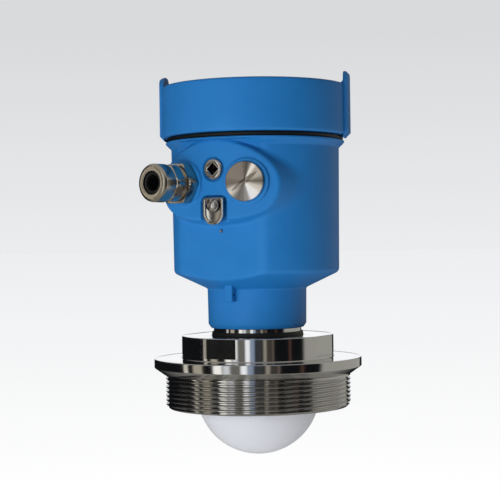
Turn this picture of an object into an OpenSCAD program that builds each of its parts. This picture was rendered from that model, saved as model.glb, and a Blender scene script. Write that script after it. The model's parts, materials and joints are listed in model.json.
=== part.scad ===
// Radar level transmitter with a screwed process fitting, a lens antenna and a two-entry cast housing.
// Frame: the origin is on the main axis, in the seat plane under the lower collar.
// +Z points up to the cap, and -Y is the front, where the cable entries are.

/* [Process fitting] */
// Major diameter of the process thread
thread_d = 100.33; // [92:0.01:104]
// Pitch of the process thread
thread_pitch = 2.309; // [1.5:0.001:3]
// Length of the threaded end below the seat plane
thread_len = 18; // [15:0.5:26]
// Diameter of the lower collar
collar_d = 112.6; // [108:0.1:130]
// Height of the lower collar, chamfer included
collar_h = 8.7; // [6:0.1:14]
// Height of the chamfer under the lower collar
collar_chamfer = 2.7; // [1:0.1:4]
// Diameter of the hub above the collar
hub_d = 82.4; // [78:0.1:96]
// Height of the hub
hub_h = 12.2; // [9:0.1:20]
// Distance across the hub's wrench flats
hub_flats = 80.3; // [74:0.1:81.5]
// Height of the ledge left under each wrench flat
flat_ledge = 1.6; // [0.5:0.1:4]
// Depth of the socket in the hub that takes the neck sleeve
sleeve_socket = 6; // [4:0.5:8]
// Thickness of the web between the sleeve socket and the horn chamber
web_t = 4; // [2.5:0.5:5]

/* [Lens antenna] */
// Radius of the lens dome
lens_r = 33.4; // [31:0.1:40]
// Height of the dome's centre above the end of the thread
lens_rise = 7.6; // [4:0.1:12]
// Depth of the lens stem inside the fitting
lens_stem = 14; // [12.5:0.5:15]
// Depth of the dish in the stem's end
lens_dish = 2; // [1:0.1:4]
// Cord diameter of the lens O-ring
lens_ring = 2.6; // [1.8:0.1:3]
// Radius of the feed horn's rim
horn_r = 27.9; // [24:0.1:29]
// Height and width of the horn's rim
horn_rim = 3; // [2:0.1:4]
// Radius of the horn's waveguide
guide_r = 2.5; // [1.5:0.1:4]

/* [Neck] */
// Outer radius of the sleeve's visible ring
sleeve_r = 23.8; // [23:0.1:24.4]
// Height of the sleeve's visible ring
ring_h = 2.1; // [1:0.1:5]
// Radius of the sleeve's journal, which the housing turns on
journal_r = 22.5; // [21.5:0.1:22.7]
// Inner radius of the sleeve
sleeve_bore = 19.5; // [17:0.1:19.8]
// Height of the rubber gasket under the ring
gasket_h = 2; // [1:0.1:4]
// Radius of the gasket's lower lip
gasket_r = 25.7; // [25:0.1:30]
// Cord diameter of the journal O-ring
journal_ring = 1.8; // [1.2:0.1:2]
// Thickness of the retaining ring on the sleeve
retainer_t = 1.6; // [1:0.1:2]
// Outer radius of the retaining ring
retainer_r = 25.4; // [24.5:0.1:26]

/* [Housing] */
// Radius of the neck at its bottom edge
neck_r = 26.2; // [25.6:0.1:30]
// Radius gained by the neck's casting draft
neck_draft = 0.7; // [0.2:0.1:1.5]
// Height of the neck
neck_h = 21.3; // [18:0.1:30]
// Height of the cone between neck and body
cone_h = 8.5; // [6:0.1:14]
// Radius of the body
body_r = 45.2; // [44.6:0.1:48]
// Height of the body from the cone to the flange bevel
body_h = 66.2; // [64:0.1:80]
// Radius of the flange under the cap
flange_r = 48.5; // [48.2:0.1:50]
// Height of the bevel under the flange
bevel_h = 3; // [2:0.1:5]
// Height of the flange edge
flange_h = 1.5; // [1:0.1:4]
// Distance of the flat front from the axis
flat_y = 37.5; // [37:0.1:39]
// Thickness of the cast walls
wall = 3.5; // [2.5:0.1:4]
// Radius of the screwed neck that the cap turns on
screw_r = 43.4; // [42.8:0.1:43.6]
// Height of the screwed neck above the flange
screw_h = 14.5; // [10:0.5:18]
// Wall thickness of the screwed neck
screw_wall = 3.4; // [2.5:0.1:4]

/* [Entry pad] */
// Distance of each cable entry from the middle plane
entry_x = 18.6; // [18:0.1:20]
// Height of the entries below the top of the flange
entry_drop = 23.5; // [22:0.1:25]
// Distance of the pad's face from the main axis
pad_front = 45.3; // [44.5:0.1:47]
// Radius of curvature of the pad's face
pad_curve = 95; // [80:1:140]
// Half width of the pad in the plane of its foremost point
pad_half_w = 33.1; // [32:0.1:34]
// Half height of the pad in the middle
pad_half_h = 20.7; // [19.5:0.1:21.5]
// Exponent of the pad's outline, where 2 is an ellipse and less is more pointed
pad_power = 1.85; // [1.6:0.05:2.4]
// Draft angle of the pad's upper and lower walls
pad_draft = 20; // [10:1:25]
// Draft angle of the pad's end walls
pad_end_draft = 14; // [10:1:16]
// Radius of the spot-faced boss around each entry
boss_r = 12.2; // [12:0.1:13]
// Height of that boss above the pad
boss_h = 1; // [0.5:0.1:2]
// Radius of each entry bore
entry_r = 8; // [7.5:0.1:8.2]

/* [Cable gland] */
// Distance across the flats of the gland body
gland_flats = 20.5; // [20:0.1:22]
// Height of the gland body's hexagon
gland_hex_h = 6; // [4:0.1:8]
// Height of the round collar above the hexagon
gland_collar_h = 1.2; // [0.8:0.1:2]
// Distance that the collar stands out from the threaded neck
gland_collar_out = 1.4; // [0.8:0.1:2]
// Height of the threaded neck inside the nut
gland_neck_h = 8; // [6:0.1:9]
// Radius of the threaded neck inside the nut
gland_neck_r = 7.6; // [7.2:0.1:7.7]
// Length of the gland's entry thread
gland_shank = 9; // [7:0.5:10]
// Depth of metal under the rubber seal, from the gland's seat
seal_seat = 3; // [2:0.1:5]
// Radius of the rubber seal
seal_r = 6; // [5.6:0.1:6.2]
// Height of the rubber seal
seal_h = 15; // [13.5:0.5:16]
// Radius of the cable hole in the rubber seal
cable_r = 4; // [2:0.1:4.4]
// Distance across the flats of the nut
nut_flats = 18.8; // [18.4:0.1:19.4]
// Height of the nut's hexagon
nut_hex_h = 6.5; // [4:0.1:8]
// Radius of the nut's dome
dome_r = 9.6; // [9.4:0.1:10]
// Radius of the nut's mouth
mouth_r = 5.8; // [5:0.1:6.4]
// Thickness of the nut's front wall
nut_lip = 3.6; // [2.5:0.1:5]
// Distance from the nut's mouth to the start of its dome
nut_tip = 1.1; // [0.8:0.1:2]
// Width and depth of the groove between the nut's hexagon and dome
nut_groove = 0.8; // [0.4:0.1:1.2]
// Thickness of the thrust ring
thrust_t = 1.6; // [1:0.1:2.5]

/* [Blind plug and vent] */
// Radius of the blind plug's disc
plug_r = 10.2; // [9.8:0.1:11]
// Thickness of the blind plug's disc
plug_t = 1.6; // [1:0.1:3]
// Length of the plug's slot
slot_len = 12.6; // [8:0.1:15]
// Width of the plug's slot
slot_w = 1; // [0.8:0.1:2]
// Angle of the slot above the horizontal
slot_turn = 35; // [0:1:180]
// Thickness of the flat seals under gland and plug
flat_seal = 0.8; // [0.5:0.1:1.2]
// Radius of the vent element's disc
vent_r = 5.5; // [5:0.1:6]
// Height of the vent above the entries
vent_rise = 7; // [6:0.1:8]
// Width of the vent's square socket
vent_socket = 4.6; // [3:0.1:5]
// Depth of the recess round the vent
vent_sink = 1.4; // [0.8:0.1:2]

/* [Earth terminal] */
// Width of the clamp plate
clamp_w = 12.1; // [10:0.1:13]
// Height of the clamp plate
clamp_h = 14; // [12.5:0.1:14.5]
// Thickness of the clamp plate
clamp_t = 1.6; // [1:0.1:2]
// Depth of the pocket in the pad
pocket_d = 3.8; // [3:0.1:4.2]
// Height of the clamp's top edge below the entries
clamp_drop = 7.8; // [7:0.1:9]
// Radius of the clamp screw's head
head_r = 3.1; // [2.8:0.1:3.6]
// Radius of the clamp screw's shank
shank_r = 2; // [1.5:0.1:2.2]
// Radius of the seal pin
pin_r = 1; // [0.8:0.1:1.4]
// Height of the seal pin below the entries
pin_drop = 25; // [24.5:0.1:30]

/* [Cap] */
// Outer radius of the cap
cap_r = 50.4; // [49.6:0.1:53]
// Height of the cap's side
cap_h = 27.4; // [24:0.1:36]
// Thickness of the cap's top
cap_top = 4.5; // [3:0.1:7]
// Width of the rim round the cap's dished top
cap_rim = 8; // [4:0.1:14]
// Depth of the cap's dished top
cap_dish = 1.2; // [0.5:0.1:2]
// Height of the rubber seal between flange and cap
cap_seal_h = 2.6; // [1.5:0.1:4]
// Width of each grip ear
ear_w = 14; // [8:0.5:24]
// Distance that each ear stands out from the side
ear_out = 1.5; // [0.8:0.1:3]
// Distance that each ear's inner face lies inside the cap's side
ear_d = 1.2; // [0.4:0.1:3]
// Height of each ear above the cap's rim
ear_rise = 7; // [3:0.1:12]
// Distance that each ear's foot reaches below the cap
ear_drop = 2; // [0:0.1:2.4]
// Width of the chamfer on each ear's top
ear_chamfer = 1.6; // [0.4:0.1:2]
// Size of the gusset between each ear and the cap's rim
ear_gusset = 1.8; // [0.5:0.1:3]
// Angle of the ears from the X axis
ear_turn = 18; // [0:1:90]

/* [Electronics] */
// Gap between the electronics module and the flat wall
module_gap = 1.5; // [0.5:0.1:6]
// Height of the electronics module
module_h = 26; // [20:0.5:28]
// Radius of the posts that carry the module
post_r = 4; // [3:0.1:5]
// Thickness of the module's screw ears
module_ear_t = 3; // [2:0.1:5]
// Radius of the module screws' shank
module_screw_r = 1.5; // [1:0.1:1.6]
// Radius of the module screws' heads
module_head_r = 2.9; // [2.4:0.1:3.5]
// Height of the module screws' heads
module_head_h = 2; // [1.5:0.1:3]
// Height of the microwave module on the horn
wave_h = 22; // [15:0.5:26]
// Depth of the recess in the microwave module's top
wave_recess = 2; // [1:0.1:4]
// Length of the terminal block
block_l = 42; // [36:0.5:44]
// Number of terminals in the block
terminals = 6; // [4:1:7]

/* [Hidden] */
$fn = 96;
// Small running gap at journals and screwed joints
run_gap = 0.05;
// Gap between pieces that turn apart on a thread
thread_gap = 0.3;
// Extra length of a cut past the face it opens
cut = 1;

fit_top = collar_h + hub_h;
web_z = fit_top - sleeve_socket;
chamber_top = web_z - web_t;
stem_r = sqrt(lens_r * lens_r - lens_rise * lens_rise);
lens_top = lens_stem - thread_len;
horn_bore = horn_r + run_gap;
spigot_r = 3 * guide_r;

shoulder_z = fit_top + gasket_h + ring_h;
neck_top = shoulder_z + neck_h;
cone_top = neck_top + cone_h;
bevel_z = cone_top + body_h;
flange_z = bevel_z + bevel_h;
flange_top = flange_z + flange_h;
cap_z = flange_top + cap_seal_h;
cap_end = cap_z + cap_h;

floor_z = neck_top + 1.5 * wall;
journal_bore = journal_r + run_gap;
retainer_z = floor_z + thread_gap;
sleeve_top = retainer_z + 2 * retainer_t + 1;
inner_y = flat_y - wall;
inner_r = body_r - wall;
seat_z = cone_top + 1.5 * wall;

entry_z = flange_top - entry_drop;
entry_turn = asin(entry_x / pad_curve);
pad_axis_y = pad_curve - pad_front;
seat_h = boss_h + flat_seal;
post_x = inner_r - post_r;
module_r = min(inner_y - module_gap, post_x - module_head_r - module_gap);
vent_z = entry_z + vent_rise;
clamp_top = entry_z - clamp_drop;
clamp_z = clamp_top - clamp_h;
screw_z = clamp_top - clamp_w * 0.32;
pocket_y = pad_front - pocket_d;
clamp_front = pad_front + 0.7;
washer_t = 0.9;

// Points of an arc in the profile plane, for fillets and lips
function arc_points(centre, r, from, to, steps) =
    [for (i = [0:steps]) centre + r * [cos(from + (to - from) * i / steps), sin(from + (to - from) * i / steps)]];

// A flat ring standing on the plane z
module ring(inner, outer, z, h) {
    rotate_extrude() translate([inner, z]) square([outer - inner, h]);
}

// An O-ring round the main axis
module o_ring(middle, cord, z) {
    rotate_extrude() translate([middle, z]) circle(d = cord, $fn = 32);
}

// Puts its children on the pad's face at x and height z, with their +Z pointing straight out of it
module on_pad(x, z) {
    turn = asin(x / pad_curve);
    translate([0, pad_axis_y, z]) rotate([0, 0, turn]) translate([0, -pad_curve, 0]) rotate([90, 0, 0]) children();
}

// Puts its children at the front, at distance y from the axis and height z, with their +Z pointing to -Y
module at_front(y, z) {
    translate([0, -y, z]) rotate([90, 0, 0]) children();
}

module hexagon(flats, h) {
    cylinder(d = flats / cos(30), h = h, $fn = 6);
}

// ---- Process fitting and antenna ----

module process_fitting() {
    thread_r = thread_d / 2;
    edge = 0.4;
    mouth = stem_r + run_gap;
    color("silver") difference() {
        rotate_extrude($fn = 180) polygon([
            [mouth, -thread_len], [thread_r - thread_pitch * 0.8, -thread_len],
            [thread_r, -thread_len + thread_pitch * 0.8], [thread_r, 0],
            [collar_d / 2 - 1.4 * collar_chamfer, 0], [collar_d / 2, collar_chamfer],
            [collar_d / 2, collar_h - edge], [collar_d / 2 - edge, collar_h],
            [hub_d / 2, collar_h], [hub_d / 2, fit_top - edge], [hub_d / 2 - edge, fit_top],
            [sleeve_r + run_gap, fit_top], [sleeve_r + run_gap, web_z],
            [spigot_r + run_gap, web_z], [spigot_r + run_gap, chamber_top],
            [horn_bore, chamber_top], [horn_bore, lens_top], [mouth, lens_top]]);
        for (a = [0:90:270])
            rotate([0, 0, a]) translate([hub_flats / 2, -hub_d / 4, collar_h + flat_ledge])
                cube([hub_d / 4, hub_d / 2, hub_h]);
    }
}

// Depth of an O-ring's groove, which squeezes its cord
function groove_depth(cord) = cord * 0.8;

module lens() {
    groove = groove_depth(lens_ring);
    color("whitesmoke") {
        difference() {
            union() {
                intersection() {
                    translate([0, 0, lens_rise - thread_len]) sphere(r = lens_r, $fn = 180);
                    translate([0, 0, -thread_len - lens_r]) cylinder(r = lens_r + cut, h = lens_r, $fn = 180);
                }
                translate([0, 0, -thread_len]) cylinder(r = stem_r, h = lens_stem, $fn = 180);
            }
            ring(stem_r - groove, stem_r + cut, lens_seal_z() - lens_ring * 0.55, lens_ring * 1.1);
            translate([0, 0, lens_top - lens_dish])
                cylinder(r1 = 0.71 * horn_r, r2 = 0.86 * horn_r, h = lens_dish + cut);
        }
    }
}

// Height of the lens O-ring, half way up the stem
function lens_seal_z() = -thread_len + lens_stem / 2;

module lens_seal() {
    groove = groove_depth(lens_ring);
    color("black") o_ring(stem_r - groove / 2, groove, lens_seal_z());
}

module feed_horn() {
    color("goldenrod") rotate_extrude() polygon([
        [horn_r - horn_rim, lens_top], [horn_r, lens_top], [horn_r, lens_top + horn_rim],
        [horn_r - 0.65 * horn_rim, lens_top + horn_rim], [spigot_r + 0.6 * guide_r, chamber_top],
        [spigot_r, chamber_top], [spigot_r, web_z], [guide_r, web_z], [guide_r, chamber_top - 1]]);
}

module microwave_module() {
    color("dimgray") difference() {
        translate([0, 0, web_z]) cylinder(r = sleeve_bore - run_gap, h = wave_h);
        translate([0, 0, web_z + wave_h - wave_recess]) cylinder(r = 0.8 * sleeve_bore, h = wave_recess + cut);
        translate([0, 0, web_z - cut]) cylinder(r = guide_r, h = cut + 4);
    }
}

module coax_plug() {
    base = web_z + wave_h - wave_recess;
    color("gold") {
        translate([0, 0, base]) cylinder(r = 4, h = 3);
        translate([0, 0, base + 3]) hexagon(6, 4);
        translate([0, 0, base + 7]) cylinder(r = 1.8, h = 5);
    }
}

// ---- Neck ----

module neck_sleeve() {
    groove = groove_depth(journal_ring);
    color("silver") rotate_extrude() difference() {
        union() {
            translate([sleeve_bore, web_z]) square([sleeve_r - sleeve_bore, shoulder_z - web_z]);
            translate([sleeve_bore, web_z]) square([journal_r - sleeve_bore, sleeve_top - web_z]);
        }
        translate([journal_r - groove, journal_z() - journal_ring * 0.55]) square([groove + cut, journal_ring * 1.1]);
        translate([journal_r - retainer_t, retainer_z]) square([retainer_t + cut, retainer_t + run_gap]);
    }
}

// Height of the journal O-ring
function journal_z() = shoulder_z + neck_h * 0.45;

module neck_gasket() {
    lip = 0.6;
    color("black") rotate_extrude() polygon([
        [sleeve_r + run_gap, fit_top], [gasket_r, fit_top], [gasket_r, fit_top + lip],
        [sleeve_r + 0.9, fit_top + gasket_h], [sleeve_r + run_gap, fit_top + gasket_h]]);
}

module journal_oring() {
    cord = groove_depth(journal_ring) - thread_gap / 2;
    color("black") o_ring(journal_r - groove_depth(journal_ring) + cord / 2, cord, journal_z());
}

module sleeve_retainer() {
    inner = journal_r - retainer_t + run_gap;
    gap_w = 5;
    color("dimgray") difference() {
        ring(inner, retainer_r, retainer_z, retainer_t);
        translate([0, -gap_w / 2, retainer_z - cut]) cube([retainer_r + cut, gap_w, retainer_t + 2 * cut]);
        for (s = [-1, 1])
            translate([(inner + retainer_r) / 2, s * gap_w, retainer_z - cut]) cylinder(r = 0.9, h = retainer_t + 2 * cut);
    }
}

// ---- Housing ----

// The body's outer form, turned, with its flat front cut off
module housing_form() {
    chamfer = 2.2;
    difference() {
        rotate_extrude($fn = 180) polygon(concat([
            [0, shoulder_z], [neck_r - 0.6 * chamfer, shoulder_z], [neck_r, shoulder_z + chamfer],
            [neck_r + neck_draft, neck_top]],
            arc_points([body_r - 3, cone_top + 1.2], 3, -40, 0, 4), [
            [body_r, bevel_z], [flange_r - 0.3, flange_z], [flange_r, flange_z + 0.3],
            [flange_r, flange_top - 0.4], [flange_r - 0.4, flange_top],
            [screw_r, flange_top], [screw_r, flange_top + screw_h - 1],
            [screw_r - 1, flange_top + screw_h], [0, flange_top + screw_h]]));
        translate([-body_r, 0, 0]) rotate([90, 0, 90]) linear_extrude(2 * body_r) polygon([
            [-flat_y, neck_top - 2], [-flat_y, bevel_z - 2], [-flat_y - bevel_h - 2, flange_z],
            [-flange_r - cut, flange_z], [-flange_r - cut, neck_top - 2]]);
    }
}

// One coordinate of a superellipse with this half axis, from the sine or cosine of its angle
function pad_curve_at(half, part) = half * sign(part) * pow(abs(part), 2 / pad_power);

// Depth at which the pad's walls have passed into the body, and reach of the hull past its face
pad_root = 24;
pad_past = 2;

// A thin slice of the pad, square to the front, at a depth behind its foremost point
module pad_slice(depth) {
    half_w = pad_half_w + depth * tan(pad_end_draft);
    half_h = pad_half_h + depth * tan(pad_draft);
    at_front(pad_front - depth, entry_z) linear_extrude(0.1)
        polygon([for (a = [0:7.5:352.5]) [pad_curve_at(half_w, cos(a)), pad_curve_at(half_h, sin(a))]]);
}

// The eye-shaped pad that carries both entries: drafted from inside the body to past its face, then cut to it
module pad() {
    intersection() {
        hull() {
            pad_slice(pad_root);
            pad_slice(-pad_past);
        }
        translate([0, pad_axis_y, 0]) cylinder(r = pad_curve, h = flange_z, $fn = 360);
    }
}

// The wiring space: a D-shaped pit with a coned bottom and a round mouth
module chamber() {
    intersection() {
        rotate_extrude($fn = 180) polygon([
            [0, floor_z], [retainer_r + 1.5, floor_z], [inner_r, seat_z - wall], [inner_r, bevel_z], [0, bevel_z]]);
        translate([-body_r, -inner_y, 0]) cube([2 * body_r, 2 * body_r, flange_top]);
    }
    mouth = min(screw_r - screw_wall, inner_r);
    translate([0, 0, bevel_z - cut]) cylinder(r = mouth, h = screw_h + 3 * bevel_h);
}

// Two cast posts that carry the electronics module
module module_posts() {
    for (s = [-1, 1])
        intersection() {
            translate([s * post_x, 0, floor_z]) cylinder(r = post_r + 0.5, h = seat_z - floor_z);
            cylinder(r = body_r - cut, h = flange_top);
        }
}

// The small lug on the neck, with a cross hole for a sealing wire
module neck_lug() {
    lug_w = 4.6;
    lug_h = 9.8;
    lug_out = 4.8;
    top = neck_top + 3.3;
    difference() {
        translate([-lug_w / 2, -neck_r - lug_out, top - lug_h]) cube([lug_w, lug_out + 2, lug_h]);
        translate([-lug_w, -neck_r - lug_out * 0.55, top - lug_h * 0.62]) rotate([0, 90, 0])
            cylinder(r = 1.1, h = 2 * lug_w, $fn = 32);
    }
}

// The pocket for the earth terminal: round upper corners, open below
module earth_pocket() {
    half = clamp_w / 2 + 1.55;
    corner = 3;
    top = clamp_top + 1;
    depth = pocket_d + 4;
    at_front(pocket_y, 0) linear_extrude(depth) {
        translate([-half, clamp_z - 9]) square([2 * half, top - corner - clamp_z + 9]);
        translate([corner - half, top - corner]) square([2 * (half - corner), corner]);
        for (s = [-1, 1])
            translate([s * (half - corner), top - corner]) circle(r = corner, $fn = 48);
    }
}

module housing() {
    color("steelblue") difference() {
        union() {
            difference() {
                union() {
                    housing_form();
                    pad();
                    neck_lug();
                    for (s = [-1, 1])
                        on_pad(s * entry_x, entry_z) translate([0, 0, -4]) cylinder(r = boss_r, h = 4 + boss_h);
                }
                chamber();
            }
            module_posts();
        }
        translate([0, 0, shoulder_z - cut]) cylinder(r = journal_bore, h = floor_z - shoulder_z + 2 * cut);
        for (s = [-1, 1])
            on_pad(s * entry_x, entry_z) translate([0, 0, -3 * gland_shank / 2]) cylinder(r = entry_r, h = 3 * gland_shank);
        at_front(inner_y - cut, vent_z) cylinder(r = vent_stem_r(), h = pad_front);
        at_front(pad_front - vent_sink, vent_z) cylinder(r = vent_r + 0.8, h = pad_front);
        earth_pocket();
        at_front(inner_y + 1.5, screw_z) cylinder(r = shank_r + run_gap, h = pad_front);
        at_front(flat_y - 2.5, pin_z()) cylinder(r = pin_r + run_gap, h = pad_front);
        for (s = [-1, 1])
            translate([s * post_x, 0, seat_z - module_bite - cut])
                cylinder(r = module_screw_r + run_gap, h = module_bite + 2 * cut, $fn = 32);
        translate([0, 0, lock_z()]) rotate([-90, 0, 0]) cylinder(r = 2 + run_gap, h = neck_r + 2);
    }
}

// Radius of the vent's threaded stem
function vent_stem_r() = vent_r - 1.6;
// Height of the seal pin, just under the pad
function pin_z() = entry_z - pin_drop;
// Height of the set screw in the neck
function lock_z() = journal_z() + 6.5;

module neck_lock_screw() {
    inner = journal_bore + thread_gap;
    color("silver") translate([0, 0, lock_z()]) rotate([-90, 0, 0]) difference() {
        translate([0, 0, inner]) cylinder(r = 2, h = neck_r - inner);
        translate([0, 0, neck_r - 1.8]) hexagon(2, 1.8 + cut);
    }
}

module seal_pin() {
    color("silver") at_front(flat_y - 2.5, pin_z()) cylinder(r = pin_r, h = 2.5 + 1.2);
}

// ---- Electronics ----

// The slot across a small screw's head, cut down from the height top
module screw_slot(head, top) {
    slot = 0.14 * head;
    translate([-2 * head, -slot, top - 0.3 * head]) cube([4 * head, 2 * slot, head]);
}

// Depth of the module screws in their posts
module_bite = 2.5 * module_screw_r + 1.25;

module electronics_module() {
    recess_r = 0.25 * module_r;
    color("darkslategray") difference() {
        union() {
            translate([0, 0, seat_z]) cylinder(r = module_r, h = module_h);
            intersection() {
                translate([-inner_r, -post_r - 1, seat_z]) cube([2 * inner_r, 2 * post_r + 2, module_ear_t]);
                cylinder(r = inner_r - thread_gap, h = flange_top);
            }
        }
        for (s = [-1, 1])
            translate([s * post_x, 0, seat_z - cut])
                cylinder(r = module_screw_r + run_gap, h = module_ear_t + 2 * cut, $fn = 32);
        ring(module_r - 0.1 * module_r, module_r + cut, seat_z + 0.85 * module_h, 0.05 * module_h);
        translate([0, -module_r * 0.55, seat_z + 0.88 * module_h]) cylinder(r = recess_r, h = module_h);
        translate([0, 0, seat_z - cut]) cylinder(r = 0.18 * module_r, h = 0.15 * module_h + cut);
    }
}

module module_screws() {
    color("silver") for (s = [-1, 1])
        translate([s * post_x, 0, seat_z]) difference() {
            union() {
                translate([0, 0, -module_bite])
                    cylinder(r = module_screw_r, h = module_bite + module_ear_t, $fn = 32);
                translate([0, 0, module_ear_t]) cylinder(r = module_head_r, h = module_head_h, $fn = 32);
            }
            screw_slot(module_head_r, module_ear_t + module_head_h);
        }
}

// Heights and places of the terminal block on the module
block_y = 4;
block_w = 13;
block_h = 10;
block_z = seat_z + module_h;
way = block_l / (terminals + 1);

module terminal_block() {
    color("darkseagreen") difference() {
        translate([-block_l / 2, block_y, block_z]) cube([block_l, block_w, block_h]);
        for (i = [1:terminals]) {
            x = -block_l / 2 + way * i;
            translate([x, block_y + block_w * 0.62, block_z + 3]) cylinder(r = way * 0.36, h = block_h, $fn = 32);
            translate([x - way * 0.3, block_y - cut, block_z + 2]) cube([way * 0.6, block_w * 0.4, 4]);
        }
    }
}

module terminal_screws() {
    color("silver") for (i = [1:terminals])
        translate([-block_l / 2 + way * i, block_y + block_w * 0.62, block_z + 3]) difference() {
            cylinder(r = way * 0.36 - run_gap, h = block_h * 0.45, $fn = 32);
            translate([-way, -0.3, block_h * 0.45 - 1]) cube([2 * way, 0.6, 2]);
        }
}

module inner_earth_plate() {
    color("silver") difference() {
        translate([-5, -16, block_z]) cube([10, 12, 1.5]);
        translate([0, -8, block_z - cut]) cylinder(r = 2, h = 4, $fn = 32);
    }
}

module inner_earth_screw() {
    color("silver") translate([0, -8, block_z]) difference() {
        union() {
            cylinder(r = 1.9, h = 2, $fn = 32);
            translate([0, 0, 1.5]) cylinder(r = 3.2, h = 2.2, $fn = 32);
        }
        translate([-4, -0.4, 2.7]) cube([8, 0.8, 2]);
    }
}

// ---- Vent, plug and gland ----

module vent_element() {
    disc_h = 2.2;
    color("silver") at_front(pad_front - vent_sink, vent_z) difference() {
        union() {
            cylinder(r = vent_r, h = disc_h - 0.4);
            translate([0, 0, disc_h - 0.4]) cylinder(r1 = vent_r, r2 = vent_r - 0.4, h = 0.4);
            translate([0, 0, -7]) cylinder(r = vent_stem_r() - run_gap, h = 7);
        }
        rotate([0, 0, 45]) translate([-vent_socket / 2, -vent_socket / 2, disc_h - 1.9])
            cube([vent_socket, vent_socket, 3]);
        translate([0, 0, -8]) cylinder(r = 1.2, h = 9, $fn = 32);
    }
}

module flat_ring_at(x) {
    on_pad(x, entry_z) ring(entry_r + run_gap, plug_r - 0.6, boss_h, flat_seal);
}

module plug_seal() {
    color("black") flat_ring_at(entry_x);
}

module gland_washer() {
    color("black") flat_ring_at(-entry_x);
}

module blind_plug() {
    color("silver") on_pad(entry_x, entry_z) difference() {
        union() {
            translate([0, 0, seat_h]) cylinder(r = plug_r, h = plug_t - 0.3);
            translate([0, 0, seat_h + plug_t - 0.3]) cylinder(r1 = plug_r, r2 = plug_r - 0.3, h = 0.3);
            translate([0, 0, seat_h - gland_shank]) cylinder(r = entry_r - run_gap, h = gland_shank);
        }
        translate([0, 0, seat_h + plug_t - 1]) rotate([0, 0, slot_turn]) linear_extrude(2) polygon([
            [-slot_len / 2, 0], [-slot_len * 0.36, -slot_w / 2], [slot_len * 0.36, -slot_w / 2],
            [slot_len / 2, 0], [slot_len * 0.36, slot_w / 2], [-slot_len * 0.36, slot_w / 2]]);
        translate([0, 0, seat_h - gland_shank - cut]) cylinder(r = entry_r - 2, h = gland_shank - 1);
    }
}

// Heights along the gland's own axis, from the pad's face
collar_end = seat_h + gland_hex_h + gland_collar_h;
neck_end = collar_end + gland_neck_h;
seal_z = seat_h + seal_seat;
thrust_z = seal_z + seal_h;
nut_z = collar_end + thread_gap;
lip_z = thrust_z + thrust_t;
nut_end = lip_z + nut_lip;

module gland_body() {
    color("darkkhaki") on_pad(-entry_x, entry_z) difference() {
        union() {
            intersection() {
                translate([0, 0, seat_h]) hexagon(gland_flats, gland_hex_h);
                translate([0, 0, seat_h]) cylinder(r1 = gland_flats * 0.62, r2 = gland_flats * 0.55, h = gland_hex_h);
            }
            translate([0, 0, seat_h]) cylinder(r = gland_neck_r + gland_collar_out, h = collar_end - seat_h);
            translate([0, 0, seat_h]) cylinder(r = gland_neck_r, h = neck_end - seat_h);
            translate([0, 0, seat_h - gland_shank]) cylinder(r = entry_r - run_gap, h = gland_shank);
        }
        translate([0, 0, seal_z]) cylinder(r = seal_r + run_gap, h = neck_end);
        translate([0, 0, seat_h - gland_shank - cut]) cylinder(r = cable_r + 0.6, h = neck_end + gland_shank);
    }
}

module gland_seal() {
    color("black") on_pad(-entry_x, entry_z) translate([0, 0, seal_z]) difference() {
        cylinder(r = seal_r, h = seal_h);
        translate([0, 0, -cut]) cylinder(r = cable_r, h = seal_h + 2 * cut);
    }
}

module gland_thrust_ring() {
    color("black") on_pad(-entry_x, entry_z) ring(cable_r + 0.5, gland_neck_r - thread_gap, thrust_z, thrust_t);
}

module gland_nut() {
    dome_z = nut_z + nut_hex_h + nut_groove;
    dome_h = nut_end - dome_z;
    tip_r = mouth_r + nut_tip;
    color("darkkhaki") on_pad(-entry_x, entry_z) difference() {
        union() {
            intersection() {
                translate([0, 0, nut_z]) hexagon(nut_flats, nut_hex_h);
                translate([0, 0, nut_z]) cylinder(r = nut_flats * 0.545, h = nut_hex_h);
            }
            translate([0, 0, nut_z]) cylinder(r = dome_r - nut_groove, h = nut_hex_h + nut_groove);
            rotate_extrude() polygon(concat(
                [[0, dome_z], [dome_r, dome_z]],
                [for (i = [0:8]) [tip_r + (dome_r - tip_r) * cos(i * 11.25),
                                  dome_z + dome_h * 0.3 + dome_h * 0.7 * sin(i * 11.25)]],
                [[0, nut_end]]));
        }
        translate([0, 0, nut_z - cut]) cylinder(r = gland_neck_r + thread_gap, h = lip_z - nut_z + cut);
        cylinder(r = mouth_r, h = nut_end + cut);
    }
}

// ---- Earth terminal ----

module earth_clamp() {
    round_r = clamp_w / 2;
    back = clamp_front - clamp_t;
    color("silver") difference() {
        union() {
            at_front(back, 0) linear_extrude(clamp_t) {
                translate([-round_r, clamp_z + round_r]) square([clamp_w, clamp_h - round_r]);
                translate([0, clamp_z + round_r]) circle(r = round_r, $fn = 64);
            }
            at_front(pocket_y, 0) translate([-round_r, clamp_top - clamp_t, 0])
                cube([clamp_w, clamp_t, back - pocket_y]);
        }
        at_front(0, screw_z) cylinder(r = shank_r + thread_gap, h = pad_front + 5);
        at_front(clamp_front - 0.6, clamp_z + clamp_w * 0.36) cylinder(r1 = 0.8, r2 = 1.6, h = 0.7, $fn = 32);
    }
}

module earth_spring_washer() {
    color("silver") at_front(clamp_front, screw_z) difference() {
        ring(shank_r + thread_gap, head_r + 0.4, 0, washer_t);
        rotate([0, 0, 60]) translate([0, -0.4, -cut]) cube([head_r + 2, 0.8, washer_t + 2 * cut]);
    }
}

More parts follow.
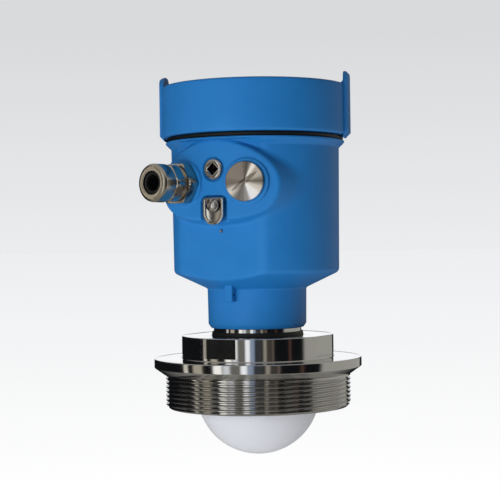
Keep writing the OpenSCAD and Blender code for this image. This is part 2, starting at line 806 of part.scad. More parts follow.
module earth_screw() {
    length = clamp_front - inner_y - 2.5;
    head_h = 1.9;
    color("silver") at_front(clamp_front + washer_t, screw_z) difference() {
        union() {
            translate([0, 0, -length - washer_t]) cylinder(r = shank_r, h = length + washer_t + 0.1);
            cylinder(r = head_r, h = head_h - 0.4);
            translate([0, 0, head_h - 0.4]) cylinder(r1 = head_r, r2 = head_r - 0.4, h = 0.4);
        }
        for (a = [0, 90])
            rotate([0, 0, a + 30]) translate([-1.9, -0.35, head_h - 1.1]) cube([3.8, 0.7, 2]);
    }
}

// ---- Cap ----

module cap_seal() {
    inner = screw_r + 2 * thread_gap;
    color("black") rotate_extrude() union() {
        translate([inner, flange_top]) square([flange_r - 1.9 - inner, cap_seal_h]);
        translate([flange_r - 1.9, flange_top + cap_seal_h / 2]) circle(d = cap_seal_h, $fn = 32);
    }
}

// One grip ear: a thin tab with an arched top, a gusset on the rim and a foot that slants in below the cap
module ear() {
    out = cap_r + ear_out;
    inner = cap_r - ear_d;
    gusset = inner - ear_gusset;
    foot = flange_r + 2 * run_gap;
    low = cap_z - ear_drop;
    tip = cap_end + ear_rise;
    arch_z = tip - ear_w / 2;
    intersection() {
        rotate([90, 0, 0]) translate([0, 0, -ear_w / 2]) linear_extrude(ear_w) polygon([
            [foot, low], [out, low + out - foot], [out, tip - ear_chamfer], [out - ear_chamfer, tip], [inner, tip],
            [inner, cap_end + ear_gusset], [gusset, cap_end], [gusset, cap_end - cap_dish],
            [foot, cap_end - cap_dish - ear_gusset]]);
        rotate([90, 0, 90]) linear_extrude(out) union() {
            translate([0, arch_z]) circle(d = ear_w);
            translate([-ear_w / 2, low]) square([ear_w, arch_z - low]);
        }
    }
}

module cap() {
    edge = 1.6;
    bore = screw_r + thread_gap;
    color("steelblue") difference() {
        union() {
            rotate_extrude($fn = 180) polygon(concat(
                [[0, cap_z], [cap_r - edge, cap_z]],
                arc_points([cap_r - edge, cap_z + edge], edge, -90, 0, 6),
                arc_points([cap_r - edge, cap_end - edge], edge, 0, 90, 6),
                [[cap_r - cap_rim, cap_end], [cap_r - cap_rim - 1.25 * cap_dish, cap_end - cap_dish],
                 [0, cap_end - cap_dish]]));
            for (s = [0, 180])
                rotate([0, 0, ear_turn + s]) ear();
        }
        translate([0, 0, cap_z - cut]) cylinder(r = bore, h = cap_h - cap_top - cap_dish + cut, $fn = 180);
    }
}

process_fitting();
lens();
lens_seal();
feed_horn();
microwave_module();
coax_plug();
neck_sleeve();
neck_gasket();
journal_oring();
sleeve_retainer();
housing();
neck_lock_screw();
seal_pin();
electronics_module();
module_screws();
terminal_block();
terminal_screws();
inner_earth_plate();
inner_earth_screw();
vent_element();
blind_plug();
plug_seal();
gland_washer();
gland_body();
gland_seal();
gland_thrust_ring();
gland_nut();
earth_clamp();
earth_spring_washer();
earth_screw();
cap_seal();
cap();
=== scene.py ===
"""Looks of the radar level transmitter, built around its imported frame.

Every length in this file is in millimetres, in the frame of the part: Z is the main axis, -Y is the front.
Points are turned to metres only where a mesh is made. Only the studio's own distances are in metres.
"""
import json
import logging
import math
from dataclasses import dataclass, field
from enum import Enum

import bmesh
import bpy
import numpy as np
from mathutils import Matrix, Vector

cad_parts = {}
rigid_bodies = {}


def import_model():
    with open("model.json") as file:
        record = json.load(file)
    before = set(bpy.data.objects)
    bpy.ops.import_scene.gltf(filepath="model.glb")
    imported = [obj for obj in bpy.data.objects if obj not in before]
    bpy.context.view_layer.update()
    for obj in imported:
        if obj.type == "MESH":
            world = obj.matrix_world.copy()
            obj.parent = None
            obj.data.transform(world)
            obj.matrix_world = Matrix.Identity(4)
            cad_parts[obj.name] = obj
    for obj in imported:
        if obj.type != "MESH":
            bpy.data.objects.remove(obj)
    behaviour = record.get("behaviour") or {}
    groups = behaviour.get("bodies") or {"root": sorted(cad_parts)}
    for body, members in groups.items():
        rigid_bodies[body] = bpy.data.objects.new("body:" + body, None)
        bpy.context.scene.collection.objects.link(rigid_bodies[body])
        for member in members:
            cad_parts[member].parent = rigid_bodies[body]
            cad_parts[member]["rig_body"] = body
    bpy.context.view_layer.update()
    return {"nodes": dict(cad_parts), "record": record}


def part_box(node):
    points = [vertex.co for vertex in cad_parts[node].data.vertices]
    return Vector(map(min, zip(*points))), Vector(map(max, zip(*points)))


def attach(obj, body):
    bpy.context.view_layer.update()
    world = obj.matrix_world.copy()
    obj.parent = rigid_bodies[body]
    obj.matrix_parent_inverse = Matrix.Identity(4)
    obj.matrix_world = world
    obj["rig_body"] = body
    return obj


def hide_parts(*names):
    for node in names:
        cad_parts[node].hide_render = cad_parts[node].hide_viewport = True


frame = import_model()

LOG = logging.getLogger("transmitter")
MM = 0.001
TURN = 2 * math.pi
QUARTER = math.pi / 2
Array = np.ndarray
Span = tuple[float, float]
Triple = tuple[float, float, float]
Stops = tuple[tuple[float, str], ...]
Values = tuple[tuple[str, object], ...]
Points = tuple[Array, Array, Array]
Rows = tuple[Array, Array]
Rings = list[tuple[float | Array, float | Array]]
Tree, Node, Socket = bpy.types.NodeTree, bpy.types.Node, bpy.types.NodeSocket


# ---------------------------------------------------------------- numbers and outlines


def node_box(node: str) -> tuple[list[float], list[float]]:
    """Gives the lowest and the highest corner of a CAD node's box, in millimetres."""
    low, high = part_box(node)
    return [float(v) / MM for v in low], [float(v) / MM for v in high]


def smooth_min(a: Array, b: Array, blend: float) -> Array:
    """Takes the smaller of two distances, with a round fillet where they cross.

    Args:
        a: First distances.
        b: Second distances.
        blend: Width of the fillet.

    Returns:
        b + (a - b) h - blend h (1 - h), with h going from 0 to 1 across the blend.
    """
    share = np.clip(0.5 + 0.5 * (b - a) / blend, 0, 1)
    return b + (a - b) * share - blend * share * (1 - share)


def smooth_max(a: Array, b: Array, blend: float) -> Array:
    """Takes the larger of two distances with a round edge: minus the smooth smaller one of -a and -b."""
    return -smooth_min(-a, -b, blend)


def ease(value: float | Array, low: float, high: float) -> Array:
    """Rises smoothly from 0 at low to 1 at high, as 3 t^2 - 2 t^3."""
    t = np.clip((value - low) / (high - low), 0, 1)
    return t * t * (3 - 2 * t)


def rounded(corners: list[Triple], closed: bool = False, steps: int = 5) -> Array:
    """Draws a line through corners and replaces each by an arc that touches both sides.

    Args:
        corners: Each corner's two coordinates and the radius of its arc, 0 for a sharp one.
        closed: Whether the last corner joins the first.
        steps: Number of chords in each arc.

    Returns:
        The line's points, one row each.
    """
    spots = np.array([corner[:2] for corner in corners], float)
    count = len(spots)
    nearly_straight = 0.01
    line = []
    for i, (_, _, radius) in enumerate(corners):
        here = spots[i]
        back, ahead = spots[i - 1] - here, spots[(i + 1) % count] - here
        reach = min(np.linalg.norm(back), np.linalg.norm(ahead)) * 0.48
        back, ahead = back / np.linalg.norm(back), ahead / np.linalg.norm(ahead)
        half = math.acos(float(np.clip(back @ ahead, -1, 1))) / 2
        at_end = not closed and i in (0, count - 1)
        if radius <= 0 or at_end or half > QUARTER - nearly_straight:
            line.append(here[None])
            continue
        radius = min(radius, reach * math.tan(half))
        middle = here + (back + ahead) / np.linalg.norm(back + ahead) * radius / math.sin(half)
        start = here + back * radius / math.tan(half) - middle
        end = here + ahead * radius / math.tan(half) - middle
        share = np.linspace(0, 1, steps + 1)[:, None]
        sweep = math.pi - 2 * half
        arc = (np.sin((1 - share) * sweep) * start + np.sin(share * sweep) * end) / math.sin(sweep)
        line.append(middle + arc)
    return np.concatenate(line)


def four_sided(low: Span, high: Span, bends: tuple[float, ...], steps: int = 5) -> Array:
    """Draws a closed four-sided outline between two corners, with a bend at each, from the low one on."""
    corners = (low, (high[0], low[1]), high, (low[0], high[1]))
    return rounded([(*corner, bend) for corner, bend in zip(corners, bends)], closed=True, steps=steps)


def even(line: Array, step: float, closed: bool = False) -> Array:
    """Adds points to a line so that no stretch is longer than a step.

    Args:
        line: The line's points, which are kept.
        step: The longest stretch allowed.
        closed: Whether the last point joins the first.

    Returns:
        The line with the points added.
    """
    ends = np.roll(line, -1, 0) if closed else line[1:]
    parts = [line[:1]]
    for start, end in zip(line, ends):
        count = max(1, math.ceil(float(np.linalg.norm(end - start)) / step))
        parts.append(start + (end - start) * (np.arange(1, count + 1) / count)[:, None])
    points = np.concatenate(parts)
    return points[:-1] if closed else points


def inset(outline: Array, distance: float | Array) -> Array:
    """Moves a closed counter-clockwise outline inwards along its mitred normals.

    Args:
        outline: The outline's points, shape (n, 2).
        distance: How far in, one value or one for each of several rings, shape (k,).

    Returns:
        The moved outlines, shape (k, n, 2).
    """
    sharpest_mitre = 0.2
    side = np.roll(outline, -1, 0) - outline
    side = side / np.linalg.norm(side, axis=1)[:, None]
    normal = np.stack([-side[:, 1], side[:, 0]], 1)
    mitre = normal + np.roll(normal, 1, 0)
    mitre = mitre / np.maximum((mitre * mitre).sum(1) / 2, sharpest_mitre)[:, None]
    return outline[None] + np.atleast_1d(distance)[:, None, None] * mitre[None]


@dataclass(frozen=True)
class Spot:
    """A place on the object with its own axes: right, up and out of the surface."""

    origin: Triple = (0.0, 0.0, 0.0)
    right: Triple = (1.0, 0.0, 0.0)
    up: Triple = (0.0, 1.0, 0.0)

    def out(self) -> Array:
        """Gives the direction out of the surface."""
        return np.cross(self.right, self.up)

    def put(self, local: Array) -> Array:
        """Moves points from this place's axes to the part's.

        Args:
            local: Points along right, up and out, in the last axis.

        Returns:
            The same points in the part's frame.
        """
        right, up = np.array(self.right), np.array(self.up)
        level = local[..., :1] * right + local[..., 1:2] * up
        return np.array(self.origin) + level + local[..., 2:] * self.out()


AXIS = Spot()


def front_spot(out: float, height: float) -> Spot:
    """Gives a place at the middle of the front, facing -Y, this far from the main axis and this high."""
    return Spot((0.0, -out, height), (1.0, 0.0, 0.0), (0.0, 0.0, 1.0))


# ---------------------------------------------------------------- meshes


@dataclass
class Skin:
    """Collects grids of points and joins them into one mesh object."""

    name: str
    points: list[Array] = field(default_factory=list)
    faces: list[list[int]] = field(default_factory=list)
    total: int = 0

    def grid(self, points: Array, along: bool = False) -> "Skin":
        """Adds a grid of points as quads between neighbouring rows and columns, its rows closed to rings.

        Args:
            points: The grid, shape (rows, columns, 3), in millimetres.
            along: Whether the last row joins the first too.

        Returns:
            The skin itself.
        """
        rows, columns = points.shape[:2]
        index = np.arange(rows * columns).reshape(rows, columns) + self.total
        index = np.concatenate([index, index[:, :1]], 1)
        if along:
            index = np.concatenate([index, index[:1]], 0)
        quads = np.stack([index[:-1, :-1], index[:-1, 1:], index[1:, 1:], index[1:, :-1]], -1).reshape(-1, 4)
        self.points.append(points.reshape(-1, 3))
        self.faces += quads.tolist()
        self.total += rows * columns
        return self

    def ring(self, points: Array) -> "Skin":
        """Adds a grid that closes on itself both ways, as the skin of a ring or a bored piece does."""
        return self.grid(points, along=True)

    def tube(self, points: Array) -> "Skin":
        """Adds rings joined into a tube and closes each end with one face.

        Args:
            points: The rings, shape (rings, points, 3).

        Returns:
            The skin itself.
        """
        start, count = self.total, points.shape[1]
        self.grid(points)
        self.faces.append(list(range(start + count - 1, start - 1, -1)))
        self.faces.append(list(range(self.total - count, self.total)))
        return self

    def build(self, finish: bpy.types.Material, sharp: float) -> bpy.types.Object:
        """Makes the mesh object, turned outwards and shaded smooth up to an angle.

        Args:
            finish: The material.
            sharp: Edges above this angle, in degrees, stay sharp.

        Returns:
            The object, at the origin.
        """
        mesh = bpy.data.meshes.new(self.name)
        mesh.from_pydata((np.concatenate(self.points) * MM).tolist(), [], self.faces)
        mesh.validate()
        turn_outwards(mesh)
        mesh.shade_smooth()
        mesh.set_sharp_from_angle(angle=math.radians(sharp))
        mesh.materials.append(finish)
        return linked(self.name, mesh)


def linked(name: str, data: bpy.types.ID) -> bpy.types.Object:
    """Makes an object and links it to the scene.

    Args:
        name: The object's name.
        data: Its mesh, camera or light.

    Returns:
        The object.
    """
    obj = bpy.data.objects.new(name, data)
    bpy.context.scene.collection.objects.link(obj)
    return obj


def turn_outwards(mesh: bpy.types.Mesh) -> None:
    """Recalculates a closed mesh's faces so that they point outwards.

    Args:
        mesh: The mesh to turn.
    """
    work = bmesh.new()
    work.from_mesh(mesh)
    bmesh.ops.recalc_face_normals(work, faces=work.faces)
    work.to_mesh(mesh)
    work.free()


def steps_round(steps: int) -> Array:
    """Gives the angles of equal steps once around."""
    return np.arange(steps) / steps * TURN


def spun(radius: Array, height: Array, angle: Array, spot: Spot = AXIS) -> Array:
    """Carries rows once around a place's outward axis.

    Args:
        radius: Radius at each row and angle, shape (n, m), or at each row, shape (n, 1).
        height: Height in the same way.
        angle: The angles, shape (m,).
        spot: The place that they stand on.

    Returns:
        Points (r cos t, r sin t, h), shape (n, m, 3).
    """
    return spot.put(np.stack([radius * np.cos(angle), radius * np.sin(angle), height + 0 * angle], -1))


def turned(profile: Array, steps: int, spot: Spot = AXIS) -> Array:
    """Turns a profile of radius and height, shape (n, 2), about a place's outward axis."""
    return spun(profile[:, :1], profile[:, 1:], steps_round(steps), spot)


def hexed(profile: Array, flats: float, spot: Spot) -> Array:
    """Turns a profile and planes it to a hexagon, which leaves the round chamfers of a turned nut.

    Args:
        profile: Radius, height and whether the point is planed (1) or stays round (0), shape (n, 3).
        flats: Distance across the hexagon's flats.
        spot: The place that it stands on.

    Returns:
        Points whose radius is the smaller of the profile's and (flats / 2) / cos(angle from the flat).
    """
    steps, edge = 144, 0.25
    angle = steps_round(steps)
    planed = flats / 2 / np.cos((angle % (TURN / 6)) - TURN / 12)[None]
    radius = profile[:, :1] + 0 * angle
    radius = np.where(profile[:, 2:] > 0, smooth_min(radius, planed, edge), radius)
    return spun(radius, profile[:, 1:2], angle, spot)


def polar(rings: Rings, steps: int, spot: Spot) -> Array:
    """Lays rings about a place's outward axis whose radius and height may change round the ring.

    Args:
        rings: Radius and height of each ring, one value or one for each step.
        steps: Number of points around.
        spot: The place that it stands on.

    Returns:
        Points (r(t) cos t, r(t) sin t, h(t)) for t once around, shape (rings, steps, 3).
    """
    angle = steps_round(steps)
    radius, height = (np.stack([ring[side] + 0 * angle for ring in rings]) for side in (0, 1))
    return spun(radius, height, angle, spot)


def level_rows(line: Array, angle: Array) -> Rows:
    """Turns a profile's points into rows: the radius at each row and angle, and each row's height."""
    return line[:, :1] + 0 * angle, line[:, 1]


def wound(rows: list[Rows], angle: Array) -> Array:
    """Joins rows one above the other and carries them around the main axis, shape (rows, angles, 3)."""
    return spun(np.concatenate([r for r, _ in rows]), np.concatenate([h for _, h in rows])[:, None], angle)


def block(outline: Array, low: float, high: float, edge: float, spot: Spot) -> Array:
    """Stands an outline up as a block with round upper and lower edges.

    Args:
        outline: The closed outline, counter-clockwise, shape (n, 2).
        low: Height of its foot.
        high: Height of its top.
        edge: Radius of the round edges.
        spot: The place that it stands on.

    Returns:
        Rings of a quarter circle at each end, shape (rings, n, 3).
    """
    angle = np.linspace(0, QUARTER, 4)
    depth = np.concatenate([edge * (1 - np.sin(angle)), edge * (1 - np.cos(angle))])
    height = np.concatenate([low + edge * (1 - np.cos(angle)), high - edge * (1 - np.sin(angle))])
    flat = inset(outline, depth)
    return spot.put(np.concatenate([flat, np.repeat(height[:, None, None], len(outline), 1)], -1))


# ---------------------------------------------------------------- finishes


def linear(code: str) -> tuple[float, float, float, float]:
    """Turns an sRGB hex colour into linear light.

    Args:
        code: Six hex digits after a hash.

    Returns:
        Red, green, blue and alpha.
    """
    parts = [int(code[i:i + 2], 16) / 255 for i in (1, 3, 5)]
    light = [p / 12.92 if p <= 0.04045 else ((p + 0.055) / 1.055) ** 2.4 for p in parts]
    return (light[0], light[1], light[2], 1.0)


def per(size: float) -> float:
    """Gives the texture scale on Object coordinates for a feature of this size in millimetres."""
    return 1 / (size * MM)


def add(tree: Tree, kind: str, inputs: dict | None = None, stops: Stops = (), **settings: object) -> Node:
    """Adds a node with its settings, values and links.

    Args:
        tree: The node tree.
        kind: The node's type name, less the word ShaderNode.
        inputs: Each input to a value, an output socket that feeds it, or a node whose first output does.
        stops: Where the node holds a colour ramp, each of its stops' place and colour, in order.
        **settings: The node's own properties.

    Returns:
        The node.
    """
    node = tree.nodes.new("ShaderNode" + kind)
    for name, value in settings.items():
        setattr(node, name, value)
    for place, code in stops[1:-1]:
        node.color_ramp.elements.new(place).color = linear(code)
    for end, (place, code) in zip((0, -1), stops[:1] + stops[-1:]):
        element = node.color_ramp.elements[end]
        element.position, element.color = place, linear(code)
    for name, value in (inputs or {}).items():
        source = value.outputs[0] if isinstance(value, Node) else value
        if isinstance(source, Socket):
            tree.links.new(source, node.inputs[name])
        else:
            node.inputs[name].default_value = source
    return node


def emptied(owner: bpy.types.Material | bpy.types.World) -> Tree:
    """Turns nodes on and clears them away.

    Args:
        owner: The material or the world.

    Returns:
        Its node tree, with no node in it.
    """
    owner.use_nodes = True
    owner.node_tree.nodes.clear()
    return owner.node_tree


def blend(tree: Tree, value: Node | Socket, ends: Span, first: object, second: object,
          **settings: object) -> Socket:
    """Blends from one colour to another while a value goes from one end to the other.

    Args:
        tree: The node tree.
        value: The value.
        ends: Where the blend starts and ends.
        first: The colour at the start, a value or a socket.
        second: The colour at the end.
        **settings: How the blend runs in between.

    Returns:
        The colour.
    """
    share = add(tree, "MapRange", {"Value": value, "From Min": ends[0], "From Max": ends[1]}, **settings)
    return add(tree, "Mix", {0: share, 6: first, 7: second}, data_type="RGBA").outputs[2]


def parts_along(tree: Tree, place: Socket, spot: Spot) -> tuple[Node, list[Socket]]:
    """Measures a pattern's place from a spot on the object.

    Args:
        tree: The material's nodes.
        place: Object coordinates.
        spot: The spot.

    Returns:
        The arm from the spot, in metres, and its parts along the spot's right, up and out.
    """
    arm = add(tree, "VectorMath", {0: place, 1: [v * MM for v in spot.origin]}, operation="SUBTRACT")
    return arm, [
        add(tree, "VectorMath", {0: arm, 1: tuple(axis)}, operation="DOT_PRODUCT").outputs["Value"]
        for axis in (spot.right, spot.up, spot.out())]


@dataclass(frozen=True)
class Grain:
    """A noise of a real size in millimetres, its finer layers, and how much finer it is along each axis."""

    size: float
    detail: float = 2.0
    stretch: Triple = (1.0, 1.0, 1.0)

    def lay(self, tree: Tree, place: Socket) -> Socket:
        """Makes the noise.

        Args:
            tree: The material's nodes.
            place: Object coordinates, in metres.

        Returns:
            The noise, from 0 to 1.
        """
        mapped = add(tree, "Mapping", {"Vector": place, "Scale": self.stretch})
        noise = add(tree, "TexNoise", {"Vector": mapped, "Scale": per(self.size), "Detail": self.detail})
        return noise.outputs["Fac"]


@dataclass(frozen=True)
class Finish:
    """A surface: what it is made of and how it was made.

    Its roughness wanders between two values of gloss over a wide grain. A fine grain stands out from it by
    its depth in millimetres, of which a share is used. More holds further values of the surface shader.
    """

    name: str
    colour: str
    metallic: float = 0.0
    roughness: float = 0.5
    gloss: Span = (0.44, 0.58)
    gloss_grain: Grain = Grain(2.5)
    relief: Grain = Grain(0.5)
    depth: float = 0.02
    share: float = 0.5
    more: Values = ()

    def make(self) -> bpy.types.Material:
        """Makes the material, with its finish's own pattern.

        Returns:
            The material.
        """
        material = bpy.data.materials.new(self.name)
        tree = emptied(material)
        shader = add(tree, "BsdfPrincipled", {
            "Base Color": linear(self.colour), "Metallic": self.metallic, "Roughness": self.roughness,
            **dict(self.more)})
        add(tree, "OutputMaterial", {0: shader})
        self.dress(tree, shader, add(tree, "TexCoord").outputs["Object"])
        return material

    def dress(self, tree: Tree, shader: Node, place: Socket) -> None:
        """Lays the two grains on the surface.

        Args:
            tree: The material's nodes.
            shader: The surface shader.
            place: Object coordinates, in metres.
        """
        gloss = add(tree, "MapRange", {
            "Value": self.gloss_grain.lay(tree, place), "To Min": self.gloss[0], "To Max": self.gloss[1]})
        tree.links.new(gloss.outputs[0], shader.inputs["Roughness"])
        self.bump(tree, shader, self.relief.lay(tree, place))

    def bump(self, tree: Tree, shader: Node, height: Socket) -> None:
        """Raises a height pattern, from 0 to 1, by the finish's depth."""
        node = add(tree, "Bump", {"Height": height, "Distance": self.depth * MM, "Strength": self.share})
        tree.links.new(node.outputs[0], shader.inputs["Normal"])


@dataclass(frozen=True)
class PowderCoat(Finish):
    """Blue powder coat on cast aluminium: satin, with a soft orange peel where the powder flowed.

    The coat is a little thicker here and thinner there, so its blue wanders between two shades.
    """

    name: str = "blue_powder_coat"
    colour: str = "#1F72B6"
    roughness: float = 0.46
    gloss: Span = (0.42, 0.52)
    gloss_grain: Grain = Grain(9.0)
    relief: Grain = Grain(1.6, 1.0)
    depth: float = 0.03
    more: Values = (("Specular IOR Level", 0.3),)
    shades: Stops = ((0.3, "#1D70B4"), (0.7, "#2174B9"))
    shade_grain: Grain = Grain(18.0)

    def dress(self, tree: Tree, shader: Node, place: Socket) -> None:
        """Adds the two shades of blue to the grains.

        Args:
            tree: The material's nodes.
            shader: The surface shader.
            place: Object coordinates, in metres.
        """
        super().dress(tree, shader, place)
        blue = add(tree, "ValToRGB", {"Fac": self.shade_grain.lay(tree, place)}, self.shades)
        tree.links.new(blue.outputs[0], shader.inputs["Base Color"])


@dataclass(frozen=True)
class TurnedSteel(Finish):
    """Stainless steel turned to a mirror: clear reflections, faint smears, drawn out by the tool's rings."""

    name: str = "mirror_turned_stainless_steel"
    colour: str = "#C4C3C0"
    metallic: float = 1.0
    roughness: float = 0.09
    gloss: Span = (0.06, 0.13)
    gloss_grain: Grain = Grain(12.0)
    relief: Grain = Grain(0.5, 1.0, (0.02, 0.02, 1.0))
    depth: float = 0.004


@dataclass(frozen=True)
class NickelPlate(Finish):
    """Nickel-plated brass: a warm bright metal with uneven gloss and fine pits under the plating."""

    name: str = "nickel_plated_brass"
    colour: str = "#BDB5A6"
    metallic: float = 1.0
    roughness: float = 0.16
    gloss: Span = (0.12, 0.24)
    gloss_grain: Grain = Grain(3.0)
    relief: Grain = Grain(0.4, 1.0)
    depth: float = 0.006
    share: float = 0.4


@dataclass(frozen=True)
class FacedMetal(Finish):
    """Nickel-plated brass faced on a lathe, with painted glints: sectors of painted highlight and shade round
    the middle.

    Each painted glint is a place round the face, from 0 to 1 clockwise from its lowest point, and a colour
    painted as highlight or shade.
    """

    name: str = "lathe_faced_nickel"
    colour: str = "#C9C1B2"
    metallic: float = 1.0
    roughness: float = 0.3
    depth: float = 0.01
    share: float = 0.4
    more: Values = (("Anisotropic", 0.35),)
    spot: Spot = AXIS
    ring: float = 0.35
    fray: float = 0.05
    fray_scale: float = 9.0
    # painted glints: the bright stops are painted highlights, the dark ones painted shade
    painted_glints: Stops = (
        (0.0, "#96918C"), (0.09, "#77726D"), (0.18, "#E4DBCE"), (0.255, "#7C7266"), (0.36, "#908678"),
        (0.49, "#8E847A"), (0.56, "#625B54"), (0.61, "#FFF6E8"), (0.65, "#BEB2A4"), (0.7, "#C6BCAC"),
        (0.775, "#6E665A"), (0.83, "#DCD2C4"), (0.9, "#FFFAF2"), (0.96, "#FFFFFF"), (1.0, "#A09B96"))

    def dress(self, tree: Tree, shader: Node, place: Socket) -> None:
        """Adds a grain along the tool's rings, the rings themselves, and painted glints: sectors of painted
        highlight and painted shade.

        Args:
            tree: The material's nodes.
            shader: The surface shader.
            place: Object coordinates, in metres.
        """
        arm, (right, up, _) = parts_along(tree, place, self.spot)
        round_way = add(tree, "VectorMath", {0: arm, 1: tuple(self.spot.out())}, operation="CROSS_PRODUCT")
        unit = add(tree, "VectorMath", {0: round_way}, operation="NORMALIZE")
        tree.links.new(unit.outputs[0], shader.inputs["Tangent"])
        clock = add(tree, "Math", {0: right, 1: up}, operation="ARCTAN2")
        share = add(tree, "MapRange", {"Value": clock, "From Min": -math.pi, "From Max": math.pi})
        jitter = add(tree, "TexNoise", {"Vector": unit, "Scale": self.fray_scale, "Detail": 3.0})
        frayed = add(tree, "Math", {0: jitter, 1: self.fray, 2: share}, operation="MULTIPLY_ADD")
        # painted highlights and shade: the colour by angle round the face stands for reflections
        painted_fan = add(tree, "ValToRGB", {"Fac": frayed}, self.painted_glints)
        painted_fan.color_ramp.interpolation = "EASE"
        tree.links.new(painted_fan.outputs[0], shader.inputs["Base Color"])
        reach = add(tree, "VectorMath", {0: round_way}, operation="LENGTH").outputs["Value"]
        spaced = add(tree, "Math", {0: reach, 1: per(self.ring)}, operation="MULTIPLY")
        rings = add(tree, "TexNoise", {"W": spaced, "Scale": 1.0, "Detail": 1.0}, noise_dimensions="1D")
        self.bump(tree, shader, rings.outputs["Fac"])


@dataclass(frozen=True)
class Stainless(Finish):
    """Polished stainless steel of small fasteners: bright, with uneven gloss and dents of the tumbling drum.

    Where a socket is given, painted shade darkens its colour inside the socket.
    """

    name: str = "polished_stainless_steel"
    colour: str = "#C2BFBA"
    metallic: float = 1.0
    roughness: float = 0.16
    gloss: Span = (0.112, 0.272)
    gloss_grain: Grain = Grain(1.2)
    relief: Grain = Grain(0.7, 1.0)
    depth: float = 0.004
    socket: Spot = AXIS
    socket_top: float = 0.0
    socket_half: float = 3.2
    # dark colour painted into the socket as the shade of its recess
    painted_socket_shade: str = "#1E1C1A"

    def dress(self, tree: Tree, shader: Node, place: Socket) -> None:
        """Paints shade into the socket inside |right| + |up| < half, from 0.3 to 1 mm under its top.

        Args:
            tree: The material's nodes.
            shader: The surface shader.
            place: Object coordinates, in metres.
        """
        super().dress(tree, shader, place)
        if not self.socket_top:
            return
        _, (right, up, out) = parts_along(tree, place, self.socket)
        reach = add(tree, "Math", {
            0: add(tree, "Math", {0: right}, operation="ABSOLUTE"),
            1: add(tree, "Math", {0: up}, operation="ABSOLUTE")})
        near, sunk = (
            add(tree, "MapRange", {"Value": value, "From Min": start * MM, "From Max": end * MM})
            for value, start, end in (
                (reach, self.socket_half * 1.08, self.socket_half),
                (out, self.socket_top - 0.3, self.socket_top - 1.0)))
        share = add(tree, "Math", {0: near, 1: sunk}, operation="MULTIPLY")
        # painted shade: the colour blends to the dark shade colour deep inside the socket
        socket_shaded = add(tree, "Mix", {0: share, 6: linear(self.colour), 7: linear(self.painted_socket_shade)}, data_type="RGBA")
        tree.links.new(socket_shaded.outputs[2], shader.inputs["Base Color"])


@dataclass(frozen=True)
class Rubber(Finish):
    """Moulded black rubber: matte, with a fine moulded grain."""

    name: str = "moulded_black_rubber"
    colour: str = "#0A0B0D"
    roughness: float = 0.55
    gloss: Span = (0.45, 0.65)
    gloss_grain: Grain = Grain(1.5)
    relief: Grain = Grain(0.6)


@dataclass(frozen=True)
class Fluoropolymer(Finish):
    """Turned white fluoropolymer: waxy and translucent, so its shade side stays pale, with turning marks."""

    name: str = "turned_white_fluoropolymer"
    colour: str = "#C8CAD0"
    roughness: float = 0.38
    gloss: Span = (0.34, 0.44)
    gloss_grain: Grain = Grain(7.0)
    relief: Grain = Grain(0.8, 1.0, (0.1, 0.1, 1.0))
    depth: float = 0.01
    share: float = 0.4
    more: Values = (
        ("Subsurface Weight", 0.8), ("Subsurface Radius", (1.0, 1.0, 1.0)), ("Subsurface Scale", 11.0 * MM),
        ("IOR", 1.36))


@dataclass(frozen=True)
class MouldedPlastic(Finish):
    """Moulded plastic with a fine spark-eroded grain."""

    name: str = "moulded_plastic"
    colour: str = "#24282B"


class Slot(Enum):
    """The record's material slots."""

    PAINT = "blue_paint"
    STEEL = "polished_steel"
    NICKEL = "nickel_plate"
    PLUG = "turned_plug"
    FASTENER = "fastener_steel"
    SPRING = "spring_steel"
    BRASS = "machined_brass"
    RUBBER = "seal_rubber"
    PTFE = "ptfe"
    DARK = "dark_plastic"
    GREEN = "green_plastic"


@dataclass
class Workshop:
    """Holds one material for each slot, and hangs finished pieces on their bodies."""

    finishes: dict[Slot, bpy.types.Material] = field(default_factory=dict)

    def prepare(self, plug: Spot, vent: Spot, vent_top: float) -> None:
        """Makes every finish.

        Args:
            plug: The blind plug's place, round which its face was turned.
            vent: The vent's place, whose socket gets painted shade inside.
            vent_top: Height of the vent's face above that place.
        """
        makers = {
            Slot.PAINT: PowderCoat(), Slot.STEEL: TurnedSteel(), Slot.NICKEL: NickelPlate(),
            Slot.PLUG: FacedMetal(spot=plug), Slot.FASTENER: Stainless(socket=vent, socket_top=vent_top),
            Slot.SPRING: Stainless("blackened_spring_steel", "#3A3A3C", 1.0, 0.3, (0.21, 0.51)),
            Slot.BRASS: NickelPlate("machined_brass", "#C8A25A", 1.0, 0.22),
            Slot.RUBBER: Rubber(), Slot.PTFE: Fluoropolymer(), Slot.DARK: MouldedPlastic(),
            Slot.GREEN: MouldedPlastic("moulded_green_plastic", "#5FA98A"),
        }
        self.finishes = {slot: maker.make() for slot, maker in makers.items()}

    def hang(self, skin: Skin, slot: Slot, node: str, sharp: float = 32.0) -> None:
        """Builds a piece that stands for a CAD node, on that node's body.

        Args:
            skin: The piece's surfaces.
            slot: Its material slot.
            node: The CAD node that it replaces.
            sharp: Edges above this angle, in degrees, stay sharp.
        """
        piece = skin.build(self.finishes[slot], sharp)
        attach(piece, frame["nodes"][node]["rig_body"])
        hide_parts(node)
        LOG.info("%s: %d faces, stands for %s", piece.name, len(piece.data.polygons), node)

    def dress_rest(self) -> None:
        """Gives every CAD node its slot's finish."""
        for entry in frame["record"]["subparts"]:
            obj = frame["nodes"][entry["node"]]
            obj.data.materials.clear()
            obj.data.materials.append(self.finishes[Slot(entry["material_slot"])])


# ---------------------------------------------------------------- housing


